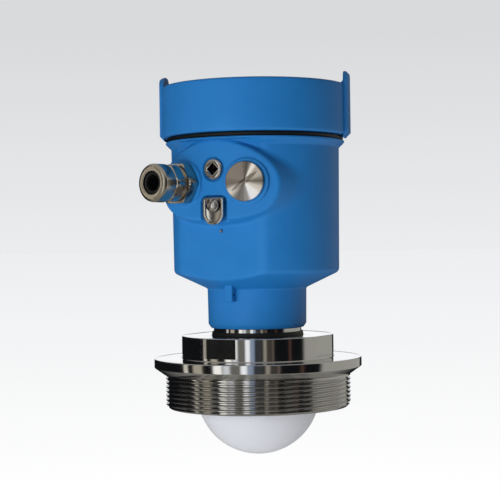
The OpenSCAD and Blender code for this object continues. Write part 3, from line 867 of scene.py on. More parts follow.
@dataclass
class HousingCasting:
    """The cast housing: turned neck, cone and body, a flat front and the drafted entry pad."""

    neck_r: float = 26.6
    neck_top_r: float = 26.9
    neck_h: float = 21.3
    cone_h: float = 8.5
    body_r: float = 45.2
    draft: float = 0.35
    flange_r: float = 48.5
    flange_t: float = 1.0
    bevel_h: float = 2.8
    screw_r: float = 43.4
    screw_wall: float = 3.4
    screw_pitch: float = 3.0
    screw_depth: float = 1.3
    flat_y: float = 37.5
    flat_edge: float = 2.0
    wall: float = 3.5
    bore_r: float = 22.55
    entry_x: float = 18.6
    entry_drop: float = 23.5
    pad_front: float = 45.3
    pad_curve: float = 95.0
    pad_half_w: float = 33.6
    pad_half_h: float = 19.1
    pad_half_top: float = 22.2
    pad_power: float = 2.5
    top_power: float = 1.75
    pad_draft: float = 20.0
    pad_end_draft: float = 14.0
    pad_edge: float = 1.2
    pad_fillet: float = 1.6
    flange_fillet: float = 5.0
    pad_depth: float = 24.0
    boss_r: float = 12.2
    boss_h: float = 1.0
    vent_rise: float = 7.0
    recess_r: float = 6.3
    recess_depth: float = 1.4
    vent_bore: float = 3.95
    vent_bore_depth: float = 9.0
    pocket_half: float = 7.6
    pocket_reach: float = 34.0
    pocket_corner: float = 3.0
    pocket_depth: float = 3.84

    def __post_init__(self) -> None:
        """Takes the heights from the frame."""
        low, high = node_box("housing")
        self.foot, self.screw_top = low[2], high[2]
        self.neck_top = self.foot + self.neck_h
        self.cone_top = self.neck_top + self.cone_h
        self.flange_top = node_box("cap_seal")[0][2]
        self.flange_z = self.flange_top - self.flange_t
        self.bevel_z = self.flange_z - self.bevel_h
        self.entry_z = self.flange_top - self.entry_drop
        self.vent_z = self.entry_z + self.vent_rise
        self.pocket_top = node_box("earth_clamp")[1][2] + 1.0
        self.floor_z = self.neck_top + 1.5 * self.wall
        self.seat_z = self.cone_top + 1.5 * self.wall

    def entry_spot(self, side: int) -> Spot:
        """Gives an entry's place on the pad's curved face, facing straight out of it.

        Args:
            side: -1 for the gland at the left, 1 for the blind plug at the right.

        Returns:
            The place.
        """
        turn = math.asin(side * self.entry_x / self.pad_curve)
        back = self.pad_curve - self.pad_front
        origin = (self.pad_curve * math.sin(turn), back - self.pad_curve * math.cos(turn), self.entry_z)
        return Spot(origin, (math.cos(turn), math.sin(turn), 0.0), (0.0, 0.0, 1.0))

    def vent_spot(self) -> Spot:
        """Gives the vent's place, at the foot of its recess."""
        return front_spot(self.pad_front - self.recess_depth, self.vent_z)

    def turned_radius(self, z: Array) -> Array:
        """Gives the casting's radius before the flat and the pad, with fillets at its bends.

        Args:
            z: Heights.

        Returns:
            The radius at each height.
        """
        line = rounded([
            (self.neck_r, self.foot, 0), (self.neck_top_r, self.neck_top, 1.2),
            (self.body_r - self.draft, self.cone_top, 3.0), (self.body_r + self.draft, self.bevel_z, 1.5),
            (self.flange_r, self.flange_z, 0.8), (self.flange_r, self.flange_top, 0)], steps=8)
        return np.interp(z, line[:, 1], line[:, 0])

    def pad_walls(self, points: Points) -> Array:
        """Gives the distance to the pad's drafted walls: a superellipse, taller above, wider with depth.

        Args:
            points: Their x, y and z.

        Returns:
            (q - 1) / |grad q|, with q = (|x / w|^p + |z / h|^p)^(1/p) and w and h growing by the drafts.
        """
        x, y, z = points
        depth = np.clip(y + self.pad_front, -2, 30)
        upper = z > self.entry_z
        half_w = self.pad_half_w + depth * math.tan(math.radians(self.pad_end_draft))
        half_h = np.where(upper, self.pad_half_top, self.pad_half_h)
        half_h = half_h + depth * math.tan(math.radians(self.pad_draft))
        wide = np.abs(x) / half_w + 1e-6
        tall = np.abs(z - self.entry_z) / half_h + 1e-6
        power = np.where(upper, self.top_power, self.pad_power)
        level = (wide ** power + tall ** power) ** (1 / power)
        slope = np.hypot((wide / level) ** (power - 1) / half_w, (tall / level) ** (power - 1) / half_h)
        return (level - 1) / slope * math.cos(math.radians(self.pad_draft))

    def body_and_pad(self, points: Points, base: Array) -> Array:
        """Gives the distance to the body, cut by the flat front, with the pad standing on it.

        Args:
            points: Their x, y and z.
            base: Turned radius at each point's height.

        Returns:
            The smooth smaller one of both, with a wider fillet where the pad runs into the flange.
        """
        x, y, z = points
        flat = self.flat_y + np.maximum(0, z - (self.bevel_z - 2.0))
        beyond_body = 20
        flat = np.where(z > self.flange_z, flat + beyond_body, flat)
        body = smooth_max(np.hypot(x, y) - base, -y - flat, self.flat_edge)
        depth = self.pad_curve - np.hypot(x, y - self.pad_curve + self.pad_front)
        pad = smooth_max(self.pad_walls(points), -depth, self.pad_edge)
        pad = np.maximum(pad, np.maximum(z - self.flange_z, depth - self.pad_depth))
        near_flange = ease(z, self.bevel_z - 4, self.bevel_z) * ease(-np.abs(x), -18, -12)
        return smooth_min(body, pad, self.pad_fillet + (self.flange_fillet - self.pad_fillet) * near_flange)

    def boss(self, side: int, points: Points) -> Array:
        """Gives the distance to the round boss under an entry.

        Args:
            side: The entry's side.
            points: Their x, y and z.

        Returns:
            The larger one of the distances to the boss's round side and to its two ends, with a round edge.
        """
        x, y, z = points
        spot = self.entry_spot(side)
        out = spot.out()
        dx, dy = x - spot.origin[0], y - spot.origin[1]
        rise = dx * out[0] + dy * out[1]
        across = dx * spot.right[0] + dy * spot.right[1]
        ends = np.maximum(rise - self.boss_h, -rise - 4 * self.boss_h)
        return smooth_max(np.hypot(across, z - self.entry_z) - self.boss_r, ends, 0.7)

    def pocket_sides(self, x: Array, z: Array) -> Array:
        """Gives the distance to the sides of the clamp's pocket, a rectangle with round corners.

        Args:
            x: Points' x.
            z: Points' z.

        Returns:
            |max(d, 0)| + min(max(d), 0) - corner, with d the points' distances past the corners' middles.
        """
        lowest = self.entry_z - self.pocket_reach
        middle, half_h = (self.pocket_top + lowest) / 2, (self.pocket_top - lowest) / 2
        wide = np.abs(x) - self.pocket_half + self.pocket_corner
        tall = np.abs(z - middle) - half_h + self.pocket_corner
        outer = np.hypot(np.maximum(wide, 0), np.maximum(tall, 0))
        return outer + np.minimum(np.maximum(wide, tall), 0) - self.pocket_corner

    def outside(self, points: Points, base: Array) -> Array:
        """Gives the distance to the casting's outside, with every form blended into the next.

        Args:
            points: Their x, y and z.
            base: Turned radius at each point's height.

        Returns:
            A distance that is negative inside the metal.
        """
        x, y, z = points
        form = self.body_and_pad(points, base)
        for side in (-1, 1):
            form = smooth_min(form, self.boss(side, points), 0.6)
        depth, off_vent = y + self.pad_front, np.hypot(x, z - self.vent_z)
        recess = smooth_max(off_vent - self.recess_r, depth - self.recess_depth, 0.4)
        form = smooth_max(form, -recess, 0.5)
        form = np.maximum(form, -np.maximum(off_vent - self.vent_bore, depth - self.vent_bore_depth))
        pocket = smooth_max(self.pocket_sides(x, z), depth - self.pocket_depth, 0.5)
        return smooth_max(form, -pocket, 0.6)

    def rays(self, angle: Array, z: Array) -> Array:
        """Finds the casting's radius by walking in from outside along level rays.

        Args:
            angle: Angles from the front, shape (m,).
            z: Heights, shape (n,).

        Returns:
            The radius at each height and angle, shape (n, m), after steps of 0.8 of the distance left.
        """
        start, walks, stride = 62.0, 90, 0.8
        base = self.turned_radius(z)[:, None]
        height = z[:, None] + 0 * angle
        radius = np.full(height.shape, start)
        across, ahead = np.sin(angle), -np.cos(angle)
        for _ in range(walks):
            radius -= stride * self.outside((radius * across, radius * ahead, height), base)
        return radius

    def shell(self) -> Skin:
        """Makes the casting as one closed skin: up the outside, down the wiring chamber and the neck's bore.

        The grid is close over the pad and wide behind, where the casting is round.

        Returns:
            The skin.
        """
        pad_foot = self.entry_z - 27
        turns = ((-42, 42, 0.47), (42, 66, 1.0), (66, 294, 3.6), (294, 318, 1.0))
        levels = ((self.foot + 2.2, self.neck_top - 1, 3.0), (self.neck_top - 1, self.cone_top + 3, 0.6),
                  (self.cone_top + 3, pad_foot, 2.2), (pad_foot, self.flange_top - 0.4, 0.42))
        angle = np.radians(np.concatenate([np.arange(*stretch) for stretch in turns]))
        z = np.unique(np.concatenate([np.arange(*stretch) for stretch in levels]))
        neck_end = rounded([
            (self.bore_r, self.foot + 0.4, 0), (self.bore_r + 0.4, self.foot, 0),
            (self.neck_r - 1.4, self.foot, 0.5), (self.neck_r, self.foot + 2.1, 0)])
        flange_face = even(rounded([
            (self.flange_r, self.flange_top - 0.4, 0), (self.flange_r - 0.3, self.flange_top, 0),
            (self.screw_r, self.flange_top, 0)]), 2.0)
        rows = [level_rows(neck_end, angle), (self.rays(angle, z), z), level_rows(flange_face, angle),
                self.screw(angle), self.pit(angle)]
        return self.lug(Skin("housing_casting").ring(wound(rows, angle - QUARTER)))

    def screw(self, angle: Array) -> Rows:
        """Cuts the cap's thread: the radius falls by a rounded tooth that climbs one pitch a turn.

        Args:
            angle: The grid's angles.

        Returns:
            The radius at each row and angle, and each row's height.
        """
        z = np.arange(self.flange_top + 0.5, self.screw_top - 1, 0.36)
        phase = z[:, None] / self.screw_pitch - angle / TURN
        tooth = 0.5 + 0.5 * np.cos(TURN * phase)
        start, end = self.flange_top + 1, self.screw_top - 1
        fade = ease(z, start, start + 2) * (1 - ease(z, end - 2, end))
        return self.screw_r - self.screw_depth * tooth * fade[:, None], z

    def pit(self, angle: Array) -> Rows:
        """Follows the mouth, the D-shaped wiring chamber, its coned floor and the neck's bore.

        Args:
            angle: The grid's angles.

        Returns:
            The radius at each row and angle, and each row's height.
        """
        inner_r, mouth = self.body_r - self.wall, self.screw_r - self.screw_wall
        line = even(np.array([
            (self.screw_r - 1, self.screw_top), (mouth, self.screw_top), (mouth, self.bevel_z),
            (inner_r, self.bevel_z), (inner_r, self.seat_z - self.wall), (self.bore_r + 4.5, self.floor_z),
            (self.bore_r, self.floor_z), (self.bore_r, self.foot + 2)]), 6.0)
        flat = (self.flat_y - self.wall) / np.maximum(np.cos(angle), 1e-3)
        inside = (line[:, 1:] < self.bevel_z + 0.1) & (line[:, :1] > self.bore_r + 1)
        radius, height = level_rows(line, angle)
        return np.where(inside, np.minimum(radius, flat), radius), height

    def lug(self, skin: Skin) -> Skin:
        """Adds the neck's lug with its cross hole, as one ring of outlines carried round the hole.

        Args:
            skin: The casting.

        Returns:
            The casting with its lug.
        """
        half, height, reach, edge, hole_r = 2.3, 9.8, 4.8, 0.35, 1.1
        root, top = self.neck_r - 2, self.neck_top + 3.3
        front, foot = self.neck_r + reach, top - height
        eye = np.array([self.neck_r + reach * 0.55, foot + height * 0.38])
        outline = even(four_sided((root, foot), (front, top), (0, 0.8, 0.8, 0), 4), 1.2, closed=True)
        angle = np.arctan2(outline[:, 1] - eye[1], outline[:, 0] - eye[0])
        hole = eye + hole_r * np.stack([np.cos(angle), np.sin(angle)], 1)
        small = inset(outline, edge)[0]
        rings = [(hole, half), (small, half), (outline, half - edge)]
        rings = [(ring, -x) for ring, x in rings] + rings[::-1]
        return skin.ring(np.stack([np.stack([np.full(len(ring), x), -ring[:, 0], ring[:, 1]], 1)
                                   for ring, x in rings]))


# ---------------------------------------------------------------- cap


@dataclass
class ScrewCap:
    """The screw cap: a turned lid with a dished top and two grip ears."""

    radius: float = 50.4
    bore: float = 43.7
    side_h: float = 27.4
    top_t: float = 4.5
    dish: float = 1.2
    ear_w: float = 14.0
    ear_out: float = 1.5
    ear_d: float = 1.2
    ear_drop: float = 2.0
    ear_chamfer: float = 1.6
    ear_foot: float = 48.6
    ear_turn: float = 18.0
    ear_swell: float = 0.7

    def __post_init__(self) -> None:
        """Takes the heights from the frame."""
        low, high = node_box("cap")
        self.seat = low[2] + self.ear_drop
        self.tip = high[2]
        self.rim = self.seat + self.side_h

    def lid(self) -> Skin:
        """Makes the turned lid, from the middle of its ceiling round the outside to the middle of its top.

        Returns:
            The skin.
        """
        middle = 0.5
        face = self.rim - self.dish
        ceiling = face - self.top_t
        line = rounded([
            (middle, ceiling, 0), (self.bore, ceiling, 1.0), (self.bore, self.seat, 0.5),
            (self.radius, self.seat, 1.6), (self.radius, self.rim, 1.4), (self.radius - 8, self.rim, 0.8),
            (self.radius - 9.5, face, 0.8), (middle, face, 0)], steps=7)
        return Skin("screw_cap").tube(turned(even(line, 6.0), 192))

    def ears(self, skin: Skin) -> Skin:
        """Adds the two grip ears: a radial outline carried across each, cut down to an arch over its width.

        Args:
            skin: The lid.

        Returns:
            The lid with its ears. At t across, an ear is at most tip - w / 2 + sqrt(w^2 / 4 - t^2) high.
        """
        out, inner = self.radius + self.ear_out, self.radius - self.ear_d
        low = self.seat - self.ear_drop
        outline = even(rounded([
            (self.ear_foot, low, 0.3), (out, low + out - self.ear_foot, 0.8),
            (out, self.tip - self.ear_chamfer, 0.8), (out - self.ear_chamfer, self.tip, 0.5),
            (inner, self.tip, 0.5), (inner, self.rim + 1.4, 1.2), (inner - 2.2, self.rim - 0.6, 0),
            (self.ear_foot, self.rim - 4, 0)], closed=True, steps=4), 1.5, closed=True)
        half = self.ear_w / 2
        turn = np.linspace(-QUARTER, QUARTER, 33)[:, None]
        flat = inset(outline, self.ear_swell * (1 - np.cos(turn[:, 0]) ** 0.35))
        arch = self.tip - half + half * np.cos(turn)
        height = smooth_min(flat[..., 1], np.maximum(arch, self.rim - 3) + 0 * flat[..., 1], 0.4)
        local = np.stack([flat[..., 0], height, half * np.sin(turn) + 0 * height], -1)
        for side in (0, 180):
            turned_by = math.radians(self.ear_turn + side)
            outward = (math.cos(turned_by), math.sin(turned_by), 0.0)
            skin.tube(Spot(right=outward, up=(0.0, 0.0, 1.0)).put(local))
        return skin


# ---------------------------------------------------------------- process fitting


@dataclass
class ProcessFitting:
    """The turned steel fitting: hub with four wrench flats, collar and pipe thread."""

    thread_r: float = 50.165
    pitch: float = 2.309
    length: float = 18.0
    collar_r: float = 56.3
    collar_h: float = 8.7
    chamfer: float = 3.9
    hub_r: float = 41.2
    hub_h: float = 12.2
    half_flats: float = 40.15
    ledge: float = 1.6
    mouth_r: float = 32.57
    socket_r: float = 23.85
    socket_h: float = 6.0
    cable_r: float = 7.55
    web: float = 4.0
    chamber_r: float = 27.95
    lens_top: float = -4.0

    def thread(self, angle: Array) -> Rows:
        """Cuts the pipe thread: the radius falls by a rounded 55 degree tooth that climbs one pitch a turn.

        Args:
            angle: The grid's angles.

        Returns:
            The radius at each row and angle, and each row's height.
        """
        depth = 0.64 * self.pitch
        z = np.arange(-self.length + 0.15, -0.25, self.pitch / 15)
        phase = (z[:, None] / self.pitch - angle / TURN) % 1.0
        slope = np.abs(2 * phase - 1)
        tooth = ease(slope, 0.04, 0.96) * 0.35 + np.clip((slope - 0.12) / 0.76, 0, 1) * 0.65
        fade = 1 - ease(z, -1.3, -0.4)
        chamfer = self.thread_r - 0.8 * self.pitch + (z + self.length)
        return np.minimum(self.thread_r - depth * tooth * fade[:, None], chamfer[:, None]), z

    def skin(self) -> Skin:
        """Makes the fitting as one closed skin: out along the end face, up the outside and down the inside.

        Returns:
            The skin. Its hub is planed by four flats, half_flats / cos(angle from the flat).
        """
        angle = steps_round(480)
        top, ledge = self.collar_h + self.hub_h, self.collar_h + self.ledge
        floor = top - self.socket_h
        ceiling = floor - self.web
        end_face = rounded([
            (self.mouth_r, -self.length + 0.5, 0), (self.mouth_r + 0.5, -self.length, 0),
            (self.thread_r - 0.8 * self.pitch, -self.length, 0)])
        collar = even(rounded([
            (self.thread_r, 0, 0), (self.collar_r - 1.4 * self.chamfer, 0, 0.4),
            (self.collar_r, self.chamfer, 0.5), (self.collar_r, self.collar_h, 0.5),
            (self.hub_r, self.collar_h, 0.5), (self.hub_r, ledge, 0)], steps=4), 4.0)
        hub = rounded([
            (self.hub_r, ledge + 0.03, 0), (self.hub_r, ledge + 0.35, 0), (self.hub_r, top - 4, 0),
            (self.hub_r, top, 0.5), (self.hub_r - 6, top, 0)])
        inside = even(rounded([
            (self.socket_r + 5, top, 0), (self.socket_r, top, 0.3), (self.socket_r, floor, 0),
            (self.cable_r, floor, 0), (self.cable_r, ceiling, 0), (self.chamber_r, ceiling, 0),
            (self.chamber_r, self.lens_top, 0), (self.mouth_r, self.lens_top, 0),
            (self.mouth_r, -self.length + 1, 0)]), 5.0)
        flat = self.half_flats / np.cos((angle + TURN / 8) % (TURN / 4) - TURN / 8)
        radius, height = level_rows(hub, angle)
        planed = (smooth_min(radius, flat - (self.hub_r - radius), 0.12), height)
        rows = [level_rows(end_face, angle), self.thread(angle), level_rows(collar, angle), planed]
        return Skin("turned_fitting").ring(wound(rows + [level_rows(inside, angle)], angle))


@dataclass
class NeckAndLens:
    """The sleeve, its rubber gasket and the domed lens under the fitting."""

    lens_r: float = 33.4
    lens_rise: float = 7.6
    thread_len: float = 18.0
    stem_top: float = -4.0
    cup_r: float = 23.9
    cup_floor_r: float = 19.9
    cup_depth: float = 2.0
    sleeve_r: float = 23.8
    journal_r: float = 22.5
    sleeve_bore: float = 19.5
    gasket_r: float = 25.0

    def lens(self) -> Skin:
        """Makes the lens: a sphere's cap from its lowest point up to the stem, and the stem's cupped end.

        Returns:
            The skin. At angle a from the lowest point the dome is r sin a wide and middle - r cos a high.
        """
        middle = self.lens_rise - self.thread_len
        stem_r = math.sqrt(self.lens_r ** 2 - self.lens_rise ** 2)
        angle = np.linspace(0.01, math.acos(self.lens_rise / self.lens_r), 60)
        dome = np.stack([self.lens_r * np.sin(angle), middle - self.lens_r * np.cos(angle)], 1)
        cup = self.stem_top - self.cup_depth
        stem = even(np.array([
            (stem_r, -self.thread_len), (stem_r, self.stem_top), (self.cup_r, self.stem_top),
            (self.cup_floor_r, cup), (0.5, cup)]), 4.0)
        return Skin("domed_lens").tube(turned(np.concatenate([dome, stem[1:]]), 160))

    def sleeve(self) -> Skin:
        """Makes the sleeve as a ring-shaped skin: its visible ring, its journal and its bore.

        Returns:
            The skin.
        """
        (_, _, low), (_, _, high) = node_box("neck_sleeve")
        shoulder = node_box("housing")[0][2]
        line = rounded([
            (self.sleeve_r, low, 0.2), (self.sleeve_r, shoulder, 0.3), (self.journal_r, shoulder, 0),
            (self.journal_r, high, 0.4), (self.sleeve_bore, high, 0.4), (self.sleeve_bore, low, 0.2)],
            closed=True)
        return Skin("neck_ring").ring(turned(line, 160))

    def gasket(self) -> Skin:
        """Makes the gasket as a ring whose side flares towards the hub in a hollow curve.

        Returns:
            The skin. At share t of its height its radius is less by flare (1 - (1 - t)^2).
        """
        (_, _, low), (_, _, high) = node_box("neck_gasket")
        inner, edge = self.sleeve_r + 0.05, self.gasket_r - 0.1
        flare = np.linspace(0, 1, 9)
        side = np.stack([edge - (self.gasket_r - self.sleeve_r - 1.0) * (1 - (1 - flare) ** 2),
                         low + 0.5 + (high - low - 0.5) * flare], 1)
        foot = [(inner, low), (edge, low), (self.gasket_r, low + 0.25)]
        line = np.concatenate([foot, side, [(inner, high)]])
        return Skin("flared_gasket").ring(turned(line, 128))


# ---------------------------------------------------------------- gland, vent, earth terminal


@dataclass
class CableGland:
    """The cable gland on its entry: hexagon body, domed nut and rubber seal."""

    spot: Spot
    seat: float = 1.8
    hex_h: float = 6.0
    collar_h: float = 1.2
    collar_r: float = 9.0
    neck_h: float = 8.0
    neck_r: float = 7.6
    shank: float = 9.0
    entry_r: float = 7.95
    body_flats: float = 20.5
    nut_flats: float = 18.8
    nut_bore: float = 7.9
    nut_hex_h: float = 6.5
    groove_r: float = 8.8
    seal_r: float = 6.0
    seal_h: float = 15.0
    cable_r: float = 4.0
    thrust_t: float = 1.6
    bulge_r: float = 5.9
    bulge_back: float = 0.8
    lip_t: float = 3.6
    mouth_r: float = 6.0
    dome_r: float = 9.95
    bend: float = 1.9

    def __post_init__(self) -> None:
        """Works out the heights along the gland from its seat."""
        self.collar_end = self.seat + self.hex_h + self.collar_h
        self.nut_z = self.collar_end + 0.3
        self.seal_z = self.seat + 3.0
        self.lip_z = self.seal_z + self.seal_h + self.thrust_t
        self.nut_end = self.lip_z + self.lip_t

    def body(self) -> Skin:
        """Makes the gland's body: entry thread, planed hexagon, collar and threaded neck.

        Returns:
            The skin.
        """
        corner = self.body_flats / 2 / math.cos(TURN / 12)
        low, high = self.seat, self.seat + self.hex_h
        end, neck_end = low - self.shank, self.collar_end + self.neck_h
        seal_bore, cable_bore = self.seal_r + 0.05, self.cable_r + 0.6
        line = np.array([
            (self.entry_r, end, 0), (self.entry_r, low, 0), (corner - 1.3, low, 1),
            (corner - 0.25, low + 0.55, 1), (corner, low + 1.1, 1), (corner, high - 1.1, 1),
            (corner - 0.25, high - 0.55, 1), (corner - 1.3, high, 1), (self.collar_r + 0.2, high, 0),
            (self.collar_r, high + 0.2, 0),
            (self.collar_r, self.collar_end - 0.15, 0), (self.collar_r - 0.15, self.collar_end, 0),
            (self.neck_r, self.collar_end, 0), (self.neck_r, neck_end, 0), (seal_bore, neck_end, 0),
            (seal_bore, self.seal_z, 0), (cable_bore, self.seal_z, 0), (cable_bore, end, 0)])
        return Skin("gland_hexagon").ring(hexed(line, self.body_flats, self.spot))

    def nut(self) -> Skin:
        """Makes the nut: planed hexagon, groove, and a drum that bends over to a flat ring at the mouth.

        Returns:
            The skin.
        """
        corner = self.nut_flats * 0.545
        low, high = self.nut_z, self.nut_z + self.nut_hex_h
        drum, front = high + 0.8, self.nut_end - 0.3
        dome = rounded([
            (self.dome_r, drum + 0.3, 0), (self.dome_r - 0.1, front, self.bend), (self.mouth_r, front, 0.4),
            (self.mouth_r, self.lip_z, 0), (self.nut_bore, self.lip_z, 0)], steps=9)
        line = np.concatenate([[
            (self.nut_bore, low, 0), (corner - 1.2, low, 1), (corner - 0.3, low + 0.5, 1),
            (corner, low + 1.1, 1), (corner, high - 1.1, 1), (corner - 0.3, high - 0.5, 1),
            (corner - 1.1, high, 1), (self.groove_r + 0.1, high, 0), (self.groove_r, high + 0.1, 0),
            (self.groove_r, high + 0.7, 0), (self.dome_r - 0.25, drum, 0)], np.pad(dome, ((0, 0), (0, 1)))])
        return Skin("gland_dome_nut").ring(hexed(line, self.nut_flats, self.spot))

    def thrust_ring(self) -> Skin:
        """Makes the thrust ring between the rubber and the nut's lip, with round edges.

        Returns:
            The skin.
        """
        inner, outer = self.bulge_r + 0.1, self.neck_r - 0.3
        line = four_sided((inner, self.lip_z - self.thrust_t), (outer, self.lip_z), (0, 0.3, 0.3, 0.2))
        return Skin("gland_slide_ring").ring(turned(line, 96, self.spot))

    def seal(self) -> Skin:
        """Makes the rubber seal: a ring whose pressed front bulges out of the nut round the cable hole.

        Returns:
            The skin.
        """
        low, high, front = self.seal_z, self.seal_z + self.seal_h, self.nut_end - self.bulge_back
        line = rounded([
            (self.cable_r, low, 0.2), (self.seal_r, low, 0.3), (self.seal_r, high, 0.3),
            (self.bulge_r, high, 0), (self.bulge_r, front, 0.9), (self.cable_r + 0.2, front - 0.3, 0.7),
            (self.cable_r, front - 2.4, 0)], closed=True)
        return Skin("gland_rubber").ring(turned(line, 96, self.spot))


@dataclass
class EntryFittings:
    """The vent and the blind plug in the pad."""

    plug_spot: Spot
    vent_spot: Spot
    disc_r: float = 10.2
    seat: float = 1.8
    disc_t: float = 1.6
    shank_r: float = 7.9
    shank: float = 9.0
    slot_half: float = 8.6
    slot_depth: float = 0.75
    slot_flank: float = 0.55
    slot_turn: float = 35.0
    vent_r: float = 5.5
    vent_t: float = 2.2
    vent_rim_h: float = 1.2
    stem_r: float = 3.85
    stem: float = 7.0
    socket: float = 4.7
    socket_depth: float = 4.2
    hole_r: float = 1.2

    def plug(self) -> Skin:
        """Makes the plug: a faced disc with a saw-cut slot, deepest in the middle and run out at both ends.

        Returns:
            The skin. At x along and y across the slot the face is sunk by depth (1 - (x / half)^2) - f |y|.
        """
        steps, top, middle = 360, self.seat + self.disc_t, 0.02
        bore, end = self.shank_r - 1.9, self.seat - self.shank
        angle = steps_round(steps) - math.radians(self.slot_turn)
        rings: Rings = [
            (bore, end), (self.shank_r, end), (self.shank_r, self.seat), (self.disc_r - 0.1, self.seat),
            (self.disc_r, self.seat + 0.12), (self.disc_r, top - 0.3), (self.disc_r - 0.09, top - 0.09)]
        for radius in np.linspace(self.disc_r - 0.3, middle, 70):
            along, across = radius * np.cos(angle), radius * np.sin(angle)
            cut = self.slot_depth * (1 - (along / self.slot_half) ** 2) - np.abs(across) * self.slot_flank
            rings.append((float(radius), top - smooth_max(cut, 0 * cut, 0.12)))
        rings += [(middle, self.seat - 1.0), (bore, self.seat - 1.0)]
        return Skin("faced_plug").ring(polar(rings, steps, self.plug_spot))

    def vent(self) -> Skin:
        """Makes the vent: a round-edged disc with a square socket, its floor drilled through.

        Returns:
            The skin. The socket's outline is (side / 2) / max(|cos t|, |sin t|), turned by an eighth.
        """
        steps, top = 96, self.vent_t
        angle = steps_round(steps) + TURN / 8
        square = self.socket / 2 / np.maximum(np.abs(np.cos(angle)), np.abs(np.sin(angle)))
        wide, deep, floor = self.vent_r - self.socket * 0.78, self.vent_rim_h, top - self.socket_depth
        rings: Rings = [(self.hole_r, -self.stem), (self.stem_r, -self.stem), (self.stem_r, 0.0),
                        (self.vent_r - 0.2, 0.0)]
        rings += [(self.vent_r - wide + wide * math.cos(t), top - deep + deep * math.sin(t))
                  for t in np.linspace(0, QUARTER, 7)]
        rings += [(square + 0.2, top - 0.1), (square, top - 0.35), (square, floor),
                  (square * 0.55, floor - 0.5), (self.hole_r, floor - 0.9)]
        return Skin("vent_disc").ring(polar(rings, steps, self.vent_spot))


